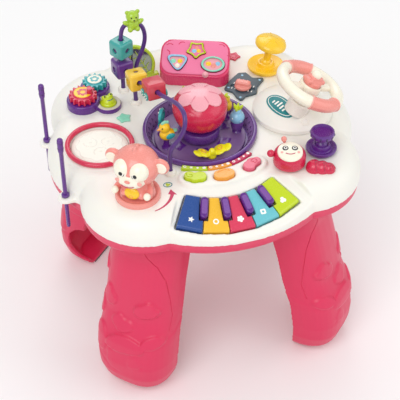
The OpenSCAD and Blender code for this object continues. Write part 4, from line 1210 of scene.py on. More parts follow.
@dataclass
class Turntable(Assembly):
    """The turntable in the dish with its posts and its six figures."""

    post_reach: float = 43.0
    post_height: float = 6.3
    eye: float = 0.8

    FLOOR = [(18.2, -7.7), (51, -7.7), (52, -6.7), (51.4, -5.3), (18.2, -5.3)]
    POST = [(0, -6), (5.4, -6), (5.4, -4.6), (3.6, -2.6), (3, 4), (3.4, 5.8), (0, 6.2)]
    POSTS = (192, 160, 96, 30, -6)
    FRUIT_CUP = [(0, -6), (5, -5.6), (6.2, 0), (5.6, 3.4), (0, 3.6)]

    def build(self) -> None:
        """Build the floor and the posts, then seat the figures."""
        add = partial(self.add, seat=DISH_STAND)
        add("turntable_floor", MAUVE, turned(self.FLOOR, sides=96), node="turntable")
        steps = [plate([sector(24, 36, 60 * i + 4, 60 * i + 34)], 0.8, 0.3, -5.5) for i in range(6)]
        add("turntable_steps", PURPLE, *steps)
        around = {angle: turned_by(angle) @ moved_to(self.post_reach, 0) for angle in self.POSTS}
        add("turntable_posts", PURPLE, *[put(turned(self.POST, sides=32), place) for place in around.values()])
        lift = moved_to(0, 0, self.post_height) @ GROWN
        seats = {angle: DISH_STAND @ place @ lift for angle, place in around.items()}
        self.bird(seats[192], "sun_bird", YELLOW, MINT, TEAL, "carousel_figures")
        self.bird(seats[96], "mint_bird", MINT, LIME, YELLOW)
        self.fish(seats[160] @ turned_by(80))
        self.pear(seats[30])
        self.fruit(seats[-6])
        self.butterfly(DISH_STAND @ turned_by(-88) @ moved_to(41, 0, -5.2) @ GROWN)

    def bird(self, seat: Matrix, name: str, coat: Finish, crest: Finish, wing: Finish, node: str = "") -> None:
        """A round bird with a crest, wings, a beak and eyes.

        Args:
            seat: Its place on its post; it looks along +X.
            name: Its name.
            coat: Finish of its body and head.
            crest: Finish of its crest and tail.
            wing: Finish of its wings.
            node: The frame node that its body replaces.
        """
        add = partial(self.add, seat=seat)
        body = (ball(6.3, (-1, 0, 5.5), (1.15, 0.95, 0.9)), ball(5, (1.4, 0, 13.6)))
        add(name, coat, *body, soft=(0.5, 12), node=node)
        comb = [ball(2, (x, 0, z), (1, 0.6, 1)) for x, z in ((-1.2, 18.4), (1, 19.2), (3, 18.6))]
        add(f"{name}_crest", crest, ball(3, (-7.6, 0, 6.8), (1.35, 0.8, 0.5)), *comb, soft=(0.4, 5))
        add(f"{name}_wings", wing, *twins(4, (-1.6, 5.6, 6.4), (1.1, 0.35, 0.75)))
        beak = turned([(0, 0), (1.9, 0), (0.5, 3.4), (0, 3.7)], sides=24)
        add(f"{name}_beak", ORANGE, put(beak, moved_to(5.4, 0, 13.2), turned_by(90, "Y")))
        add(f"{name}_eyes", BLACK, *twins(self.eye, (4.8, 2.7, 15)))

    def fish(self, seat: Matrix) -> None:
        """A teal hoop-shaped fish that stands on its tail.

        Args:
            seat: Its place on its post.
        """
        body = (
            put(hoop(5.4, 1.9), moved_to(0, 0, 12), turned_by(90, "X")),
            ball(4.4, (0, 0, 2), (1, 0.8, 0.9)),
            ball(3, (2.4, 0, 6.2), (0.8, 0.8, 1.4)),
        )
        self.add("hoop_fish", TEAL, *body, seat=seat, soft=(0.45, 7))
        eyes = [ball(self.eye, (side * 2.6, -1.9, 16.8)) for side in SIDES]
        self.add("hoop_fish_eyes", WHITE_PRINT, *eyes, seat=seat)

    def pear(self, seat: Matrix) -> None:
        """A yellow pear with three leaves.

        Args:
            seat: Its place on its post.
        """
        self.add("pear_figure", YELLOW, ball(6.4, (0, 0, 5.8)), ball(4.5, (0, 0, 12.4)), seat=seat, soft=(0.5, 12))
        leaves = []
        for angle in (20, 160, 280):
            leaf = ball(2.6, (2.2, 0, 0), (1, 0.5, 0.3))
            leaves.append(put(leaf, moved_to(0, 0, 16.6), turned_by(angle)))
        self.add("pear_leaves", LIME, *leaves, seat=seat)

    def fruit(self, seat: Matrix) -> None:
        """A light-blue fruit with a lime crown, in a purple cup.

        Args:
            seat: Its place on its post.
        """
        add = partial(self.add, seat=seat)
        add("c", PURPLE, turned(self.FRUIT_CUP, sides=40))
        add("blue_fruit", SKY, ball(6.8, (0, 0, 6.6)), ball(4, (0, 0, 12.6)), soft=(0.5, 10))
        seeds = [ball(0.9, (*polar(6.4, 72 * i), 6 + 2 * (i % 2)), (0.6, 0.6, 1)) for i in range(5)]
        add("fruit_seeds", WHITE_PRINT, *seeds)
        leaves = []
        for i in range(6):
            blade = ball(4.4, (0, 0, 3.4), (0.42, 0.28, 1))
            leaves.append(put(blade, moved_to(0, 0, 13.6), turned_by(60 * i), turned_by(24 if i % 2 else 42, "Y")))
        add("fruit_crown", LIME, *leaves, soft=(0.4, 3))

    def butterfly(self, seat: Matrix) -> None:
        """A yellow butterfly on the turntable's floor.

        Args:
            seat: Its place; it faces outwards along +X.
        """
        body = [ball(3.6, (0, 0, 5), (1, 0.9, 1.4)), rod(4, 3.4, edge=1)]
        spots = []
        for side in SIDES:
            fore, hind = ball(6.2, squash=(1, 1.05, 0.3)), ball(4.6, squash=(1, 1, 0.34))
            body.append(put(fore, moved_to(-1, side * 7.5, 6), turned_by(side * 24, "X")))
            body.append(put(hind, moved_to(1, side * 13.6, 8.6), turned_by(side * 30, "X")))
            spots.append(put(hoop(2.2, 0.4), moved_to(-1, side * 7.5, 8), turned_by(side * 24, "X")))
        self.add("butterfly", SUN, *body, seat=seat, soft=(0.45, 7))
        self.add("butterfly_spots", ORANGE, *spots, seat=seat)


@dataclass
class Dome(Assembly):
    """The dome over the carousel and its scalloped cap."""

    seam_gauge: float = 0.5
    seam_start: float = 42.7

    NECK = [(0, -4), (12.4, -4), (12.4, 14.6), (14, 15), (19.4, 15)]
    BULGE = arched((20, 37), 11, -22, (1.5, 1.3, 1.1, 0.9, 0.7, 0.5, 0.3, 0.15))
    CROWN = arched((0, 37), 31, 18.5, [0.1 * k for k in range(16)])

    def build(self) -> None:
        """Build the dome, the cap and the cap's seams."""
        skin = turned(self.NECK + self.BULGE + self.CROWN + [(0, 55.5)], sides=96)
        self.add("dome_skin", CRIMSON, skin, seat=DISH_STAND, node="dome")
        self.recast("dome_cap", PALE_PINK, 0.5, 5)
        seams = []
        for i in range(6):
            direction = self.seam_start + 60 * i
            arc = [0.08 * k for k in range(4, 9)]
            line = [(*polar(32.4 * math.sin(t), direction), 37.3 + 20 * math.cos(t)) for t in arc]
            seams.append(tube(line, self.seam_gauge))
        self.add("cap_seams", CAP_SHADE, *seams, seat=DISH_STAND)


@dataclass
class Drum(Assembly):
    """The drum with its pad that presses, and two sticks that stand in their tabs."""

    wave_radius: float = 25.4
    waves: int = 9
    swing: float = 1.2
    wave_gauge: float = 0.55
    moon_radius: float = 7.4
    moon_gauge: float = 0.7
    stick_foot: float = -45.36
    stick_top: float = 80.64
    stick_radius: float = 3.3

    PAD = [
        (0, -4.6), (34, -4.6), (34, -3.2), (32, -3.2), (32, 1.2), (31, 2.1), (27, 2.7), (24.5, 3), (20, 3.1), (0, 3.1),
    ]
    MOONS = ((20, 11), (140, 12), (262, 11))
    COLLAR = [(2.3, 0), (4, 0), (4.4, 0.6), (4.4, 2.8), (3.8, 3.6), (2.4, 3.9)]

    def build(self) -> None:
        """Build the ring, the pad with its relief, and the sticks."""
        self.add("drum_hoop", CRIMSON, hoop(36, 3, (0, 0, 4.4)), seat=DRUM_STAND, node="drum_ring")
        pad = partial(self.add, seat=DRUM_STAND, body="drum_pad")
        pad("drum_skin", SKIN_WHITE, turned(self.PAD, sides=96), node="drum_pad")
        relief = [tube(self.wavy(), self.wave_gauge, closed=True)]
        moon = [(x, y, 0) for x, y in bow((0, 0), self.moon_radius, 30, 300, 20)]
        for direction, reach in self.MOONS:
            spot = moved_to(*polar(reach, direction), 2.9) @ turned_by(direction)
            relief += [put(tube(moon, self.moon_gauge), spot), put(ball(1.6, squash=(1, 1, 0.5)), spot)]
        pad("drum_relief", IVORY_TRIM, *relief)
        for end, y in (("front", -50), ("rear", 50)):
            self.stick(end, y)

    def wavy(self) -> list[Triple]:
        """The closed wave around the skin.

        Returns:
            Its points.
        """
        points = []
        for i in range(120):
            turn = math.tau * i / 120
            radius = self.wave_radius + self.swing * math.sin(self.waves * turn)
            points.append((*polar(radius, math.degrees(turn)), 2.75))
        return points

    def stick(self, end: str, y: float) -> None:
        """One drumstick with its bands.

        Args:
            end: Which stick: front or rear.
            y: Its place along the table's left edge.
        """
        node = f"drumstick_{end}"
        add = partial(self.add, seat=moved_to(-171.5, y, 245.6), body=node)
        low, top, radius = self.stick_foot, self.stick_top, self.stick_radius
        tip = [(0, low), (1.6, low), (2.3, low + 1.4)]
        head = [(2.4, top - 19), (3.1, top - 17.6), (radius, top - 15), (radius, top - 3)]
        crown = arched((0, top - 3), radius, 3, (0.4, 0.8, 1.2)) + [(0, top)]
        add(f"stick_{end}", PURPLE, turned(tip + self.COLLAR + head + crown, sides=40), node=node)
        add(f"stick_{end}_bands", DEEP_PURPLE, *[hoop(3.25, 0.35, (0, 0, top - z)) for z in (6, 13)])


@dataclass
class Monkey(Assembly):
    """A round monkey that turns on its base and looks along +X."""

    skull: float = 24.0
    ear: float = 9.4
    inner_ear: float = 6.4

    PLINTH = [
        (0, 0), (24.5, 0), (24.5, 3), (23.8, 5.3), (22.2, 6), (20.6, 5.3), (19, 3.6), (7.2, 3.4), (7.2, 1.5), (0, 1.5),
    ]
    TRUNK = [(0, -4), (7, -4), (7, 0.4), (14.6, 0.4), (16.8, 2.4), (17.2, 6), (15.6, 12), (13, 17), (11, 22), (0, 23)]
    ARM = [(2, 13, 13), (7, 17.4, 11), (12, 19, 9), (16, 18.6, 10)]
    EYE_RINGS = (("white", 4.9, WHITE_PRINT, 22.1), ("ring", 4, BLACK, 22.7), ("iris", 3, WHITE_PRINT, 23.3))

    def build(self) -> None:
        """Build the base, the body, the head and the face."""
        plinth = turned(self.PLINTH, sides=96)
        self.add("monkey_plinth", SALMON, plinth, seat=moved_to(*MONKEY, TOP), body="table", node="monkey_base")
        self.trunk()
        self.head()
        self.face()

    def trunk(self) -> None:
        """The body with its legs, arms, hands and belly."""
        add = partial(self.add, seat=MONKEY_SEAT)
        arms = [tube(smooth_line([(x, side * y, z) for x, y, z in self.ARM]), 3.5) for side in SIDES]
        legs = twins(5, (11.5, 9.5, 5), (1.1, 0.9, 0.85))
        add("monkey_body", SALMON, turned(self.TRUNK), *legs, *arms, soft=(0.8, 8), node="monkey")
        chest = put(ball(8.4, squash=(0.36, 1, 0.82)), moved_to(15.6, 0, 8.6), turned_by(-12, "Y"))
        add("chest", YELLOW, chest)
        add("belly_button", ORANGE, put(hoop(1.8, 0.6), moved_to(18.6, 0, 6.4), turned_by(78, "Y")))
        add("monkey_hands", CREAM, *twins(4.3, (18, 18, 11), (0.9, 0.9, 1)))

    def ears(self, radius: float, depth: float, foot: float, edge: float, x: float, y: float) -> list[Obj]:
        """A disc for each ear, turned to face along +X.

        Args:
            radius: The disc's radius.
            depth: Its thickness.
            foot: Where its back lies, from the ear's middle.
            edge: Radius of its edges.
            x: Place of the ear's middle along +X.
            y: How far the ear is from the head's middle.

        Returns:
            Both discs.
        """
        discs = [rod(radius, depth, (0, 0, foot), edge) for _side in SIDES]
        return [put(disc, moved_to(x, side * y, 4), turned_by(90, "Y")) for disc, side in zip(discs, SIDES)]

    def head(self) -> None:
        """The head with its ears and its tuft."""
        add = partial(self.add, seat=MONKEY_HEAD)
        tuft = [ball(3.2, (x, 0, 22.2 + x * 0.1), (1.5, 0.6, 0.9)) for x in (-3, 2)]
        skull = ball(self.skull, squash=(0.98, 1.04, 0.92))
        add("monkey_head", SALMON, skull, *self.ears(self.ear, 6.4, -3.2, 3, -2, 26.4), *tuft, soft=(0.8, 6))
        add("monkey_ears", CREAM, *self.ears(self.inner_ear, 2, 0, 0.9, 0.4, 27.4))

    def face(self) -> None:
        """The mask with its eyes, nose, mouth and cheeks."""
        add = partial(self.add, seat=MONKEY_HEAD)
        mask = [*twins(11.4, (13.2, 8, 4.4), (1, 1, 1.02)), ball(13.2, (13.4, 0, -5.6), (1, 1.24, 0.88))]
        add("monkey_face", CREAM, *mask, soft=(0.6, 10))
        for name, radius, finish, out in self.EYE_RINGS:
            discs = []
            for side in SIDES:
                lie = moved_to(out, side * 7.8, 5) @ turned_by(side * 12) @ turned_by(80, "Y")
                discs.append(put(rod(radius, 0.9, (0, 0, -0.45), 0.3), lie))
            add(f"monkey_eye_{name}", finish, *discs)
        add("monkey_pupils", BLACK, *twins(2.2, (24.1, 7.9, 5.2), (0.5, 1, 1.1)))
        add("monkey_nose", SALMON, ball(2.4, (26.4, 0, -2.4), (0.5, 1.3, 0.8)))
        smile = [(26.5 - 0.012 * y * y, y, -9.4 + 0.035 * y * y) for y in range(-7, 8)]
        add("monkey_mouth", RED_PRINT, tube(smile, 0.45))
        add("monkey_cheeks", BLUSH, *twins(3.1, (22.8, 12, -4.8), (0.35, 1, 0.8)))


@dataclass
class Gears(Assembly):
    """Two meshed gears and a critter button in the purple housing."""

    spread: float = 28.3
    teal_direction: float = 48.0
    critter_reach: float = 29.3
    critter_direction: float = -22.0

    RED = polar(141, 149.5)
    KNOB = [(0, 8.4), (3.4, 8.4), (2.7, 10), (2.7, 13), (3.5, 14.4), (3.3, 15.6), (0, 16.1)]
    CUP = [(9.9, -1), (9.9, 5.8), (10.6, 6.3), (14, 6.2), (14.6, 5), (14.2, 5), (10.4, 5)]

    def from_red(self, reach: float, direction: float) -> Pair:
        """A place at a distance from the red gear's axle, in a direction from +X."""
        x, y = polar(reach, direction)
        return self.RED[0] + x, self.RED[1] + y

    def build(self) -> None:
        """Build the housing, the gears with their printed discs, and the critter."""
        self.recast("gear_housing", PURPLE, 0.75, 5)
        teal = self.from_red(self.spread, self.teal_direction)
        self.gear("gear_red", self.RED, 10.4, CRIMSON, YELLOW, 7)
        self.gear("gear_teal", teal, 8.4, TEAL, CREAM, 5)
        knob_seat = moved_to(self.RED[0] + 7.5, self.RED[1] - 3.5, 280)
        self.add("finger_knob", CRIMSON, turned(self.KNOB, sides=40), seat=knob_seat, body="gear_red")
        self.critter(self.from_red(self.critter_reach, self.critter_direction))

    def gear(self, node: str, place: Pair, radius: float, finish: Finish, paper: Finish, rays: int) -> None:
        """A gear with a printed disc and a plain sun on it.

        Args:
            node: The gear.
            place: Its axle.
            radius: The disc's radius.
            finish: Finish of the gear and of its sun.
            paper: Finish of the disc.
            rays: How many rays the sun has.
        """
        self.recast(node, finish, 0.42, 3, node)
        add = partial(self.add, seat=moved_to(*place, 288), body=node)
        add(f"{node}_disc", paper, plate([ring_points(radius, 56)], 0.8, 0.3, 0.3))
        sun = [scalloped(radius * 0.66, rays, radius * 0.2), ring_points(radius * 0.3, 32)]
        add(f"{node}_sun", finish, plate(sun, 0.3, lift=1.05))

    def critter(self, place: Pair) -> None:
        """The lime critter that presses, in its cup.

        Args:
            place: The cup's middle.
        """
        self.add("critter_cup", BEIGE, turned(self.CUP), seat=moved_to(*place, TOP))
        add = partial(self.add, seat=moved_to(*place, 273.5) @ turned_by(-70), body="critter_button")
        body = (rod(9.5, 4.6, edge=1.6), ball(8.4, (0, 0, 3.4), (1, 1, 0.92)), *twins(2.9, (-2, 4.5, 9.6)))
        add("critter", LIME, *body, soft=(0.5, 8), node="critter_button")
        add("critter_eyes", BLACK, *twins(1, (-0.6, 4.3, 12)))
        smile = [(5.6 - 0.09 * y * y, y, 9.4 - 0.02 * y * y) for y in range(-4, 5)]
        add("critter_smile", KEY_NAVY, tube(smile, 0.4))


@dataclass
class BeadMaze(Assembly):
    """Two coated wires with lacquered beads, and the mirror leaf behind them."""

    wire: float = 2.5
    bore: float = 3.3
    bead: float = 21.0
    bead_edge: float = 3.2
    pit: float = 3.4
    wheel: float = 4.6

    TALL = [
        (-70, 86, 0), (-70, 86, 78), (-68, 86, 87), (-64, 86, 92), (-46, 86, 90), (-42, 86, 80), (-41, 86, 66),
        (-46, 86, 50), (-54, 86, 32), (-54, 86, 0),
    ]
    LOW = [
        (-62, 58, 0), (-63, 57, 36), (-65, 54, 43), (-63, 30, 47), (-53, 27, 49), (-50, 0, 52), (-46, -25, 62),
        (-41, -48, 70), (-39, -66, 70), (-40, -73, 60), (-47, -74, 44), (-59, -75, 34), (-59, -75, 0),
    ]
    SOCKET = [(2.6, 0), (6.5, 0), (6.6, 1.6), (5.8, 4), (4.4, 5), (3, 5), (2.6, 4.4)]

    def build(self) -> None:
        """Build the wires, the sockets, the beads and the leaf."""
        for node, path in (("wire_tall", self.TALL), ("wire_low", self.LOW)):
            self.add(f"{node}_bar", WIRE, self.bar(path), node=node)
        feet = [self.TALL[0], self.TALL[-1], self.LOW[0], self.LOW[-1]]
        sockets = [turned(self.SOCKET, (x, y, TOP), 40) for x, y, _z in feet]
        self.add("wire_feet", IVORY_TRIM, *sockets, node="wire_sockets")
        self.cube("bead_purple", moved_to(-70, 86, TOP + 34) @ turned_by(12), WOOD_PURPLE)
        self.cube("bead_teal", moved_to(-70, 86, TOP + 61) @ turned_by(30), WOOD_TEAL)
        self.cube("bead_yellow", self.on_wire(self.LOW, 2), WOOD_YELLOW)
        self.bear(Matrix.Translation(self.on_wire(self.TALL, 3).translation))
        self.cart(self.on_wire(self.LOW, 4))
        Leaf(self.nodes).build()

    def bar(self, path: Sequence[Triple]) -> Obj:
        """A wire with soft bends.

        Args:
            path: Its corners, as heights over the top.

        Returns:
            The wire.
        """
        spots = []
        for a, b in zip(path, path[1:]):
            near, far = Vector(a), Vector(b)
            count = max(2, round((far - near).length / 5))
            spots += [near.lerp(far, i / count) for i in range(count)]
        spots.append(Vector(path[-1]))
        for _round in range(3):
            inner = [(spots[i - 1] + 2 * spots[i] + spots[i + 1]) / 4 for i in range(1, len(spots) - 1)]
            spots = [spots[0], *inner, spots[-1]]
        return tube(smooth_line([(x, y, z + TOP) for x, y, z in spots], 2), self.wire)

    def on_wire(self, path: Sequence[Triple], stretch: int) -> Matrix:
        """The middle of one of a wire's stretches, with +Z along it.

        Args:
            path: The wire.
            stretch: The stretch's number.

        Returns:
            The place.
        """
        near, far = (Vector(p) for p in path[stretch : stretch + 2])
        middle = (near + far) / 2 + Vector((0, 0, TOP))
        lean = far - near
        turn = turned_by(math.degrees(math.atan2(lean.y, lean.x)))
        return moved_to(*middle) @ turn @ turned_by(math.degrees(lean.angle((0, 0, 1))), "Y")

    def drilled(self, bead: Obj) -> Obj:
        """A bead with its bore along +Z."""
        return cut(bead, rod(self.bore, 40, (0, 0, -20)))

    def four_sides(self, radius: float, depth: float, out: float, edge: float) -> list[Obj]:
        """A disc on each of a cube's four sides.

        Args:
            radius: The discs' radius.
            depth: Their thickness.
            out: How far they begin from the cube's middle.
            edge: Radius of their edges.

        Returns:
            The discs.
        """
        turns = (0, 90, 180, 270)
        return [put(rod(radius, depth, (0, 0, out), edge), turned_by(turn), turned_by(90, "Y")) for turn in turns]

    def cube(self, node: str, seat: Matrix, finish: Finish) -> None:
        """A cube bead with round edges, a bore, a hole in each side and painted shade at the bottom of each hole.

        Args:
            node: Its frame node.
            seat: Its place, with +Z along the wire.
            finish: Its finish.
        """
        add = partial(self.add, seat=seat, body=node)
        bead = self.drilled(block((self.bead,) * 3, edge=self.bead_edge))
        add(f"{node}_block", finish, cut(bead, joined("pits", *self.four_sides(self.pit, 2.4, 8.9, 0.4))), node=node)
        add(f"{node}_lips", finish, *[hoop(3.9, 0.5, (0, 0, side * 10.25)) for side in SIDES])
        # Dark purple discs at the bottom of the side holes: painted shade in the holes.
        add(f"{node}_plugs", DEEP_PURPLE, *self.four_sides(3, 0.8, 8.4, 0.2))

    def bear(self, seat: Matrix) -> None:
        """A lime bear that sits on the top stretch and looks along -Y.

        Args:
            seat: Its place, upright.
        """
        add = partial(self.add, seat=seat, body="bead_bear")
        body = [ball(7.4, (0, 0, -1), (1, 0.92, 1.04)), ball(7.4, (0, 0, 9.2), (1.04, 0.94, 0.92))]
        for side in SIDES:
            arm = put(ball(3.2, squash=(1.5, 0.9, 0.85)), moved_to(side * 8, -2.4, 2.8), turned_by(side * -28, "Y"))
            body += [ball(2.7, (side * 6, 0, 14.8), (1, 0.7, 1)), ball(3.1, (side * 4.2, -4.4, -5.4)), arm]
        body.append(ball(3, (0, -6.2, 7.6), (1.2, 0.7, 0.85)))
        add("bear", WOOD_LIME, *body, soft=(0.5, 7), node="bead_bear")
        eyes = [ball(0.85, (side * 2.8, -6.4, 10.8)) for side in SIDES]
        add("bear_eyes", BLACK, *eyes, ball(0.9, (0, -8.3, 8.4), (1.3, 0.7, 0.8)))

    def cart(self, seat: Matrix) -> None:
        """A red block with white-dotted wheels on its sides.

        Args:
            seat: Its place, with +Z along the wire.
        """
        add = partial(self.add, seat=seat, body="bead_red")
        add("cart_block", WOOD_RED, self.drilled(block((20, 22, 22), edge=3)), node="bead_red")
        wheels, dots = [], []
        for side in SIDES:
            for z in (-5.4, 5.4):
                lie = moved_to(5.2, side * 11, z) @ turned_by(-side * 90, "X")
                wheels.append(put(rod(self.wheel, 1.8, (0, 0, -0.3), 0.6), lie))
                dots += [put(ball(0.85, (*polar(2.7, 72 * i), 1.5), (1, 1, 0.4)), lie) for i in range(5)]
        add("cart_wheels", WOOD_TEAL, *wheels)
        add("cart_dots", WHITE_PRINT, *dots)


@dataclass
class Leaf(Assembly):
    """The lime leaf with its mirror pane and veins, in a clamp."""

    middle: float = 27.0
    midrib_gauge: float = 0.55
    vein_gauge: float = 0.45

    FOOT = (-31, 104)

    def build(self) -> None:
        """Build the frame on its foot, the pane, the veins and the clamp."""
        add = partial(self.add, seat=moved_to(*self.FOOT, TOP) @ turned_by(-25, "Y") @ turned_by(90, "X"))
        inner = [(x, y + 0.2) for x, y in self.lens(11.4, 43)]
        frame = plate([self.lens(15, 54), inner], 5, 1.6, -2.5)
        add("leaf_frame", LEAF_LIME, frame, block((11, 10, 4.6), (0, 3.6, 0), 1.4), node="leaf_mirror")
        add("leaf_pane", FOIL, plate([self.lens(12.2, 45.4)], 1.6, 0.3, -0.8))
        veins = [tube([(0, 9, 1.3), (0, 27, 1.5), (0, 44, 1.3)], self.midrib_gauge)]
        for side in SIDES:
            for y in (15, 23, 31):
                line = [(0, y, 1.2), (side * 3.6, y + 4, 1.2), (side * 6.4, y + 5.4, 1.1)]
                veins.append(tube(line, self.vein_gauge))
        add("leaf_veins", LEAF_LIME, *veins)
        self.add("leaf_clamp", LEAF_LIME, block((18, 8, 5), (*self.FOOT, TOP + 2.5), 1.4))

    def lens(self, half_width: float, length: float) -> list[Pair]:
        """A leaf's outline with pointed ends.

        Args:
            half_width: Half its width.
            length: Its length.

        Returns:
            The outline.
        """
        radius = (half_width**2 + (length / 2) ** 2) / (2 * half_width)
        half = math.degrees(math.asin(length / 2 / radius))
        shift = radius - half_width
        right = bow((-shift, self.middle), radius, -half, half, 20)
        left = bow((shift, self.middle), radius, 180 - half, 180 + half, 20)
        return right + left[1:-1]


class Window(Enum):
    """The shapes of the picture box's windows."""

    STAR = "star_button"
    PEAR = "pear_button"
    OVAL = "oval_button"

    def outline(self, reach: float) -> list[Pair]:
        """The window's outline.

        Args:
            reach: How far it reaches from its middle.

        Returns:
            The outline.
        """
        if self is Window.STAR:
            return rounded(starred(reach, reach * 0.62, turn=-90), reach * 0.26, 4)
        if self is Window.PEAR:
            corners = [(1.2 * reach, 0.86 * reach), (-1.2 * reach, 0.86 * reach), (0.2 * reach, -1.15 * reach)]
            return rounded(corners, reach * 0.95, 9)
        return ring_points(reach, 56, stretch=0.76)


@dataclass
class PictureBox(Assembly):
    """The pink box with three shaped windows in its sloped lid."""

    gap: float = 0.5
    rim_width: float = 2.8
    arc_gauge: float = 0.6

    WINDOWS = (
        (Window.STAR, (1, 10), 13.4, LIME, BOX_TOP),
        (Window.PEAR, (-21, -9.5), 13.2, SKY, PALE_PINK),
        (Window.OVAL, (22, -9), 14, MINT, PALE_PINK),
    )
    PATCHES = {
        Window.STAR: ((SKY, (-2.6, -1.4), 3), (YELLOW, (2.8, -1), 2.8), (SALMON, (0.2, 3.4), 2.8)),
        Window.PEAR: ((MINT, (-4.4, 3), 3.4), (YELLOW, (3.6, 3.2), 3.2), (CREAM, (1, -3), 3)),
        Window.OVAL: ((YELLOW, (-5.4, 0.8), 3.4), (SALMON, (0.8, -1.4), 3.6), (SKY, (5.8, 1.4), 3)),
    }
    ARCS = (((-31, 13), 40, 150), ((-35, 4), -20, 80), ((30, 15), 20, 120), ((36, 8), -60, 30), ((-16, 16), 60, 170))

    def build(self) -> None:
        """Build the case, the lid, the windows and the small knob."""
        self.recast("picture_box", BOX_PINK, 0.9, 8)
        outlines = [rounded(rect(-39.4, -23.4, 39.4, 23.4), 17, 10)]
        for window, (x, y), reach, _rim, _pane in self.WINDOWS:
            outlines.append([(px + x, py + y) for px, py in window.outline(reach + self.gap)])
        self.add("box_lid", BOX_TOP, plate(outlines, 2.2, 0.9, -0.9), seat=LID)
        for window, place, reach, rim, pane in self.WINDOWS:
            node = window.value
            add = partial(self.add, seat=LID @ moved_to(*place), body=node)
            frame = [window.outline(reach), window.outline(reach - self.rim_width)]
            add(f"{node}_rim", rim, plate(frame, 1.9, 0.9, 1.5), node=node)
            add(f"{node}_pane", pane, plate([window.outline(reach - 2.2)], 2.8, 0.5, -1.4))
            for i, (tint, (x, y), size) in enumerate(self.PATCHES[window]):
                add(f"{node}_patch_{i}", tint, ball(size, (x, y, 1.1), (1, 1, 0.36)))
        arcs = [[(x, y, 1.25) for x, y in bow(at, 4.6, start, end, 8)] for at, start, end in self.ARCS]
        self.add("box_arcs", BOX_PINK, *[tube(arc, self.arc_gauge) for arc in arcs], seat=LID)
        knob_seat = LID @ moved_to(14, -22.4, 0.2) @ turned_by(38, "X")
        self.add("box_knob", PALE_PINK, rod(3.8, 4, edge=1.6), ball(2.5, (0, 0, 4)), seat=knob_seat, soft=(0.35, 5))


@dataclass
class Track(Assembly):
    """The splash-shaped plate with its slider and ticks."""

    print_depth: float = 0.4
    print_foot: float = 2.85
    tick_pitch: int = 4

    DROPS = ((53, 25), (108, 24), (200, 17), (278, 20))

    def build(self) -> None:
        """Build the plate, its ticks and the slider."""
        self.recast("track_plate", SLATE, 0.6, 6)
        add = partial(self.add, seat=TRACK)
        ticks = [
            rect(x - 0.5, side * 5 - 1.6, x + 0.5, side * 5 + 1.6)
            for x in range(-12, 13, self.tick_pitch)
            for side in SIDES
        ]
        add("track_ticks", WHITE_PRINT, *[plate([tick], self.print_depth, lift=self.print_foot) for tick in ticks])
        drops = [ring_points(1.4, 20, polar(reach, direction)) for direction, reach in self.DROPS]
        add("track_drops", SKY, *[plate([drop], self.print_depth, lift=self.print_foot) for drop in drops])
        body = (rod(2.6, 5, (0, 0, 1.4)), rod(10, 4.2, (0, 0, 3.3), 1.8), block((18, 9, 8), (0, 0, 8.2), 2.6))
        add("slider", SALMON, *body, soft=(0.5, 7), body="track_slider", node="track_slider")
        ribs = [block((1.2, 6.6, 0.8), (x, 0, 12), 0.3) for x in (-5, 0, 5)]
        add("slider_ribs", BLUSH, *ribs, body="track_slider")


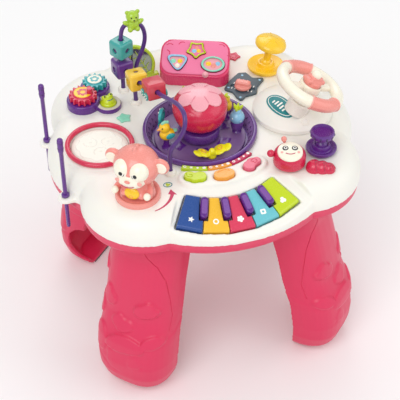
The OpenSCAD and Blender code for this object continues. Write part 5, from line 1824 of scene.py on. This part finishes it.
@dataclass
class Joysticks(Assembly):
    """Two sticks in round cups: one with a mushroom cap, one with a spool."""

    pivot_height: float = 9.0
    ball_radius: float = 7.0
    bowl_radius: float = 7.3

    HILL = [(11.8, 5.6), (10.5, 6.4), (9.7, 10), (9, 11), (7.3, 11)]
    MUSHROOM = [
        (4.4, 7), (4.4, 18), (5.4, 22.4), (9, 24), (16.6, 24), (18.6, 25.6), (19, 27.8), (18, 30.6), (14.4, 33),
        (9, 34.4), (6.4, 35), (5, 36), (0, 36),
    ]
    RIB = ((6.4, 35), (10, 34.1), (14.2, 33.1), (17.9, 30.6))
    SPOOL = [
        (4, 6.4), (4, 11.6), (5.4, 12.8), (11.6, 13), (13.1, 14), (13.5, 16), (13.5, 18.2), (12.9, 19.5), (11.7, 20),
        (10.5, 19.5), (9.6, 17.8), (0, 17.2),
    ]

    def build(self) -> None:
        """Build both cups and both sticks; the yellow one rests aslant."""
        self.cup("yellow", YELLOW_CUP, 22, YELLOW)
        self.cup("purple", PURPLE_CUP, 17.5, PURPLE)
        lift = moved_to(0, 0, self.pivot_height)
        self.mushroom(YELLOW_CUP @ lift @ turned_by(-17) @ turned_by(11, "Y"))
        self.spool(PURPLE_CUP @ lift)

    def cup(self, name: str, stand: Matrix, reach: float, finish: Finish) -> None:
        """A round cup with a bowl for the stick's ball.

        Args:
            name: The stick's colour.
            stand: The cup's place.
            reach: Its radius.
            finish: Its finish.
        """
        flare = [(0, 0), (reach - 4, 0), (reach - 0.4, 4), (reach, 5.6), (reach - 0.4, 7), (reach - 1.6, 7.5)]
        arc = [0.24 - 0.12 * k for k in range(13)]
        bowl = arched((0, self.pivot_height), self.bowl_radius, self.bowl_radius, arc)
        cup = turned([*flare, (reach - 3, 7), *self.HILL, *bowl, (0, 1.9)], sides=80)
        self.add(f"{name}_bowl", finish, cup, seat=stand, node=f"{name}_cup")

    def stick(self, profile: Outline) -> Obj:
        """A stick with its ball at the origin."""
        arc = [polar(self.ball_radius, angle) for angle in range(-90, 51, 10)]
        return turned([(max(x, 0), y) for x, y in arc] + list(profile), sides=80)

    def mushroom(self, pivot: Matrix) -> None:
        """The yellow stick with its ribbed cap.

        Args:
            pivot: The middle of its ball, leaning.
        """
        add = partial(self.add, seat=pivot, body="yellow_stick")
        add("mushroom", YELLOW, self.stick(self.MUSHROOM), node="yellow_stick")
        lines = [[(*polar(reach, 72 * i + 20), z) for reach, z in self.RIB] for i in range(5)]
        add("mushroom_ribs", YELLOW, *[tube(smooth_line(line, 4), 0.7) for line in lines])

    def spool(self, pivot: Matrix) -> None:
        """The purple stick with its fluted disc.

        Args:
            pivot: The middle of its ball.
        """
        add = partial(self.add, seat=pivot, body="purple_stick")
        add("spool", PURPLE, self.stick(self.SPOOL), node="purple_stick")
        flutes = [ball(1.3, (*polar(12.9, 30 * i), 16.4), (1, 1, 1.8)) for i in range(12)]
        add("spool_flutes", DEEP_PURPLE, *flutes)


@dataclass
class Console(Assembly):
    """The white dome with its collar, teal label and badge."""

    reach: float = 46.0
    rise: float = 18.0
    height: float = 24.0
    sheet: float = 1.6

    COLLAR = [(13.2, -5), (13.4, 6), (13.2, 8.8), (11.8, 10), (8.4, 10.1), (6.3, 9.2), (6.3, -3)]
    LABEL = ((-20, -9), -7)
    BADGE = ((1, -37.5), 10)
    BARS = ((-9, 0.6), (-4.5, 2.8), (0, 4.6), (4.5, 2.8), (9, 0.6))

    @property
    def curve(self) -> float:
        """Radius of the ball that the dome is a cap of."""
        return (self.reach**2 + self.rise**2) / (2 * self.rise)

    def build(self) -> None:
        """Build the dome and the collar, then lay the label and the badge on."""
        edge = math.asin(self.reach / self.curve)
        profile = [(0, 0), (self.reach - 1.5, 0), (self.reach, 1.5)]
        for i in range(17):
            lean = edge * (1 - i / 16)
            profile.append((max(self.curve * math.sin(lean), 0), self.height - self.curve * (1 - math.cos(lean))))
        dome = turned(profile, sides=96)
        self.add("console_dome", IVORY, dome, seat=moved_to(*CONSOLE, TOP), node="wheel_console")
        self.add("console_collar", IVORY_TRIM, turned(self.COLLAR, sides=72), seat=SHAFT)
        oval, line = ring_points(21.5, 56, stretch=0.5), ring_points(19.2, 56, stretch=0.46)
        self.lay("console_label", LABEL_TEAL, [oval], self.LABEL, 0.7)
        self.lay("label_ring", WHITE_PRINT, [line, ring_points(18.2, 56, stretch=0.44)], self.LABEL, 1.0)
        for i, (x, top) in enumerate(self.BARS):
            bar = rounded(rect(x - 1.2, -3.6, x + 1.2, top), 1)
            self.lay(f"label_bar_{i}", WHITE_PRINT, [bar], self.LABEL, 1.05)
        self.lay("console_badge", IVORY_TRIM, [scalloped(5.6, 5, 1.2), ring_points(2.6, 32)], self.BADGE, 0.9)

    def lay(
        self, name: str, finish: Finish, outlines: Sequence[Outline], where: tuple[Pair, float], lift: float
    ) -> None:
        """Lay a thin plate on the dome.

        Args:
            name: Its name.
            finish: Its finish.
            outlines: Its outline and holes.
            where: Its place from the dome's axis, and its direction in degrees.
            lift: How far its face stands out.
        """
        (x, y), turn = where
        sheet = plate(outlines, self.sheet, 0.2, self.curve - self.sheet)
        refine(sheet, "SUBSURF", subdivision_type="SIMPLE", levels=2)
        self.bend(sheet, self.curve + lift - 1.0)
        outwards = Vector((x, y, math.sqrt(self.curve**2 - x**2 - y**2)))
        tilt = outwards.to_track_quat("Z", "Y").to_matrix().to_4x4() @ turned_by(turn)
        self.add(name, finish, sheet, seat=moved_to(*CONSOLE, TOP + self.height - self.curve) @ tilt)

    def bend(self, sheet: Obj, radius: float) -> None:
        """Bend a flat sheet onto a ball around the origin.

        Args:
            sheet: The sheet, above the origin.
            radius: The ball's radius at the sheet's underside.
        """
        for point in sheet.data.vertices:
            over = point.co.z / MM
            flat = Vector((point.co.x, point.co.y)) / MM
            point.co.z = (math.sqrt(max(radius**2 - flat.length_squared, 0)) + over - radius + 0.4) * MM


@dataclass
class Wheel(Assembly):
    """The cream rim with two salmon grips, the spokes, the hub and the shaft."""

    lift: float = 32.0
    radius: float = 34.5
    gauge: float = 7.0
    grip_gauge: float = 7.8
    grip_reach: float = 29.0

    GRIPS = (106, 286)
    SPOKES = (20, 200)
    HUB = [
        (0, -21.6), (9.8, -21.6), (9.8, -7), (12, -6), (13, -4.6), (13, 2.4), (12.2, 3.8), (11, 4), (10.9, 0.4),
        (0, 0.4),
    ]

    def build(self) -> None:
        """Build the rim, the grips, the hub and the shaft."""
        add = partial(self.add, seat=SHAFT @ moved_to(0, 0, self.lift))
        add("rim", CREAM, hoop(self.radius, self.gauge), node="steering_wheel")
        pads, lips = [], []
        for angle in self.GRIPS:
            arc = bow((0, 0), self.radius, angle - self.grip_reach, angle + self.grip_reach, 18)
            pads.append(blended(tube([(x, y, 0) for x, y in arc], self.grip_gauge), 0.7, 10))
            for side in SIDES:
                place = turned_by(angle + side * 28.4) @ moved_to(self.radius, 0) @ turned_by(90, "X")
                lips.append(put(hoop(7.5, 0.8), place))
        add("wheel_grips", SALMON, *pads)
        add("grip_lips", BLUSH, *lips)
        arms = [put(block((24, 10, 6.2), (24, 0, -1), 2.4), turned_by(angle)) for angle in self.SPOKES]
        add("wheel_hub", CREAM, turned(self.HUB), *arms)
        self.add("wheel_shaft", CREAM, rod(6, 14, (0, 0, -3.4), 0.8), seat=SHAFT)


@dataclass
class Horn(Assembly):
    """The stepped salmon bar on the hub, with a cream ball."""

    lift: float = 34.5
    ball_radius: float = 5.6

    def build(self) -> None:
        """Build the bar, the ball and the studs."""
        add = partial(self.add, seat=SHAFT @ moved_to(0, 0, self.lift) @ turned_by(20))
        steps = (rod(10.4, 6, edge=1), block((25, 14, 5), (0, 0, 6.4), 2), block((15, 12, 5), (0, 0, 9.4), 2))
        add("horn", SALMON, *steps, soft=(0.5, 6), node="horn_button")
        add("horn_ball", CREAM, ball(self.ball_radius, (0, 0, 13)))
        add("horn_studs", BLUSH, *[rod(2.4, 1.6, (side * 9.4, 0, 8), 0.7) for side in SIDES])


@dataclass
class WormTail(Assembly):
    """The worm's tail of leafy bumps."""

    growth: float = 0.3
    middle: float = 0.9
    vein_gauge: float = 0.4

    BUMPS = ((23.3, -15.2, 9), (31.5, -19, 8.5), (38, -22, 7))

    def build(self) -> None:
        """Build the bumps, cut flat below, and their veins."""
        bumps = [ball(radius + 0.2, (x, y, self.middle), (1, 1, 1.1)) for x, y, radius in self.BUMPS]
        tail = blended(joined("bumps", *bumps), 0.5, 5)
        cut(tail, block((120, 120, 20), (0, 0, -10)))
        self.add("worm_tail", CRIMSON, tail, seat=WORM_STAND, node="worm_tail")
        veins = []
        for x, y, radius in self.BUMPS:
            grown = radius + self.growth
            arc = (0.1, 0.4, 0.7, 1.0, 1.3)
            arch = [(grown * math.sin(t), 0, self.middle + 1.1 * grown * math.cos(t)) for t in arc]
            for swing in (-35, 0, 35):
                veins.append(put(tube(arch, self.vein_gauge), moved_to(x, y), turned_by(swing - 60)))
        self.add("tail_veins", VEIN_RED, *veins, seat=WORM_STAND)


@dataclass
class WormHead(Assembly):
    """The worm's head, which presses, with its face and antennas."""

    height: float = 2.5
    look: float = -107.0
    antenna: float = 1.5

    NECK = [(0, -9), (7.9, -9), (7.9, 0), (16, 0), (17.6, 1.2), (18, 3), (18, 9.6)]
    CROWN = arched((8.6, 9.6), 9.4, 9.4, [0.2 * k for k in range(1, 8)])
    MASK = [(0, 7), (13.2, 7), (14, 8.6), (13.6, 10.2), (11, 11.4), (5, 11.9), (0, 12)]
    EYES = (("ring", 3.5, BLACK, 11.6), ("white", 2.7, WHITE_PRINT, 11.9), ("pupil", 1.5, BLACK, 12.3))
    SIDE_ANTENNA = [(-12.4, 2.6, 12), (-17.6, 3.8, 13), (-20.4, 4.4, 14.4)]
    TOP_ANTENNA = [(-1, 9.8, 16.5), (-2, 12, 20.5), (-2.4, 13, 23.5)]

    def build(self) -> None:
        """Build the skull and the antennas, then the face."""
        seat = WORM_STAND @ moved_to(0, 0, self.height)
        add = partial(self.add, seat=seat)
        add("worm_skull", CRIMSON, turned(self.NECK + self.CROWN + [(0, 19)], sides=72), node="worm_head")
        horns = [tube(smooth_line(path), self.antenna) for path in (self.SIDE_ANTENNA, self.TOP_ANTENNA)]
        add("worm_horns", CRIMSON, *horns)
        add("worm_side_tip", CRIMSON, ball(4.2, self.SIDE_ANTENNA[-1]))
        add("worm_top_tip", SALMON, ball(3.2, self.TOP_ANTENNA[-1]))
        self.face(seat @ turned_by(self.look) @ moved_to(1.6, 0, 8.6) @ turned_by(9, "Y"))

    def face(self, tilt: Matrix) -> None:
        """The cream mask with its eyes, mouth and cheeks.

        Args:
            tilt: The mask's place; it looks along +Z, with its chin to +X.
        """
        add = partial(self.add, seat=tilt)
        add("worm_face", CREAM, turned(self.MASK))
        for name, radius, finish, height in self.EYES:
            add(f"worm_eye_{name}", finish, *twins(radius, (-3, 5, height), (1, 1, 0.28)))
        add("worm_mouth", RED_PRINT, tube([(5.6 - 0.06 * y * y, y, 11.8) for y in range(-5, 6)], 0.5))
        add("worm_cheeks", BLUSH, *twins(1.9, (2.6, 8.8, 11.2), (1, 1, 0.3)))


@dataclass
class Stars(Assembly):
    """Two raised stars on the top."""

    radius: float = 10.0
    thickness: float = 2.0

    STARS = (("mint", (-83, 33), 20, MINT, "star_studs"), ("red", (76, 112), 50, KEY_PINK, ""))

    def build(self) -> None:
        """Build both stars."""
        for name, place, turn, finish, node in self.STARS:
            star = plate([rounded(starred(self.radius, 6, turn), 2.9, 5)], self.thickness, 0.9, 0)
            line = [rounded(starred(6.2, 3.6, turn), 1.4, 4), rounded(starred(4.8, 2.8, turn), 1, 3)]
            rim = plate(line, 0.6, 0.2, 1.75)
            self.add(f"{name}_star", finish, star, rim, seat=moved_to(*place, TOP), node=node)


@dataclass
class Hardware(Assembly):
    """What lies underneath and inside keeps its own mesh."""

    FINISHES = {
        "case_screws": STEEL,
        "battery_cover": CRIMSON_CASE,
        "batteries": SLEEVE,
        "speaker": CONE,
        "main_board": BOARD,
        "power_switch": BLACK,
    }

    def build(self) -> None:
        """Give each node its finish."""
        for node, finish in self.FINISHES.items():
            self.keep(node, finish)


# ---------------------------------------------------------------- the studio


@dataclass(frozen=True)
class Lamp:
    """A soft square lamp."""

    name: str
    place: Triple
    size: float
    power: float

    def hang(self, target: Vector) -> None:
        """Hang the lamp.

        Args:
            target: The point that it shines on, in metres.
        """
        bpy.ops.object.light_add(type="AREA", location=self.place)
        lamp = bpy.context.active_object
        lamp.name = self.name
        lamp.data.size = self.size
        lamp.data.energy = self.power
        lamp.rotation_euler = (target - Vector(self.place)).to_track_quat("-Z", "Y").to_euler()


@dataclass
class Studio:
    """A plain pale floor, soft lamps and the camera."""

    azimuth: float = -17.3
    elevation: float = 42.1
    distance: float = 1300.0
    lens: float = 101.76
    sensor: float = 36.0
    daylight: float = 0.62
    floor_side: float = 40.0

    LAMPS = (
        Lamp("key_lamp", (-1.1, -1.3, 2.0), 1.6, 26.0),
        Lamp("fill_lamp", (1.6, -0.9, 1.3), 1.8, 10.0),
        Lamp("rear_lamp", (0.3, 1.7, 1.9), 1.4, 12.0),
    )
    TARGET = mm(-18.1, -52.0, 200.0)
    FLOOR_GREY = (0.93, 0.93, 0.93, 1.0)

    def build(self) -> None:
        """Lay the floor, hang the lamps and set the camera."""
        scene = bpy.context.scene
        scene.view_settings.view_transform = "Standard"
        self.floor()
        for lamp in self.LAMPS:
            lamp.hang(self.TARGET)
        scene.world = scene.world or bpy.data.worlds.new("Studio")
        scene.world.use_nodes = True
        sky = scene.world.node_tree.nodes["Background"].inputs
        sky["Color"].default_value = WHITE
        sky["Strength"].default_value = self.daylight
        scene.camera = self.camera()

    def floor(self) -> None:
        """The floor."""
        bpy.ops.mesh.primitive_plane_add(size=self.floor_side)
        floor = bpy.context.active_object
        floor.name = "floor"
        paint = bpy.data.materials.new("Floor paper")
        paint.use_nodes = True
        shader = paint.node_tree.nodes["Principled BSDF"].inputs
        shader["Base Color"].default_value = self.FLOOR_GREY
        shader["Roughness"].default_value = 0.9
        floor.data.materials.append(paint)

    def camera(self) -> Obj:
        """The camera, aimed at the table.

        Returns:
            The camera's object.
        """
        turn, tilt = math.radians(self.azimuth), math.radians(self.elevation)
        back = Vector((math.sin(turn) * math.cos(tilt), -math.cos(turn) * math.cos(tilt), math.sin(tilt)))
        bpy.ops.object.camera_add(location=self.TARGET + back * self.distance * MM)
        camera = bpy.context.active_object
        camera.rotation_euler = (-back).to_track_quat("-Z", "Y").to_euler()
        camera.data.lens = self.lens
        camera.data.sensor_width = self.sensor
        camera.data.sensor_fit = "HORIZONTAL"
        return camera


STATIONS: tuple[tuple[type[Assembly], str], ...] = (
    (TopShell, "table"),
    (Legs, "table"),
    (Keyboard, "table"),
    (PushButtons, "table"),
    (Dish, "table"),
    (Turntable, "carousel"),
    (Dome, "dome"),
    (Drum, "table"),
    (Gears, "table"),
    (BeadMaze, "table"),
    (PictureBox, "table"),
    (Track, "table"),
    (Joysticks, "table"),
    (Console, "table"),
    (Wheel, "steering_wheel"),
    (Horn, "horn_button"),
    (WormTail, "table"),
    (WormHead, "worm_head"),
    (Stars, "table"),
    (Hardware, "table"),
    (Monkey, "monkey"),
)


def main() -> None:
    """Load the frame, build every station around it and set the studio."""
    logging.basicConfig(level=logging.INFO, format="%(name)s: %(message)s")
    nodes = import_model()["nodes"]
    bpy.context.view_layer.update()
    for station, body in STATIONS:
        station(nodes, body).build()
    Studio().build()


if __name__ == "__main__":
    main()
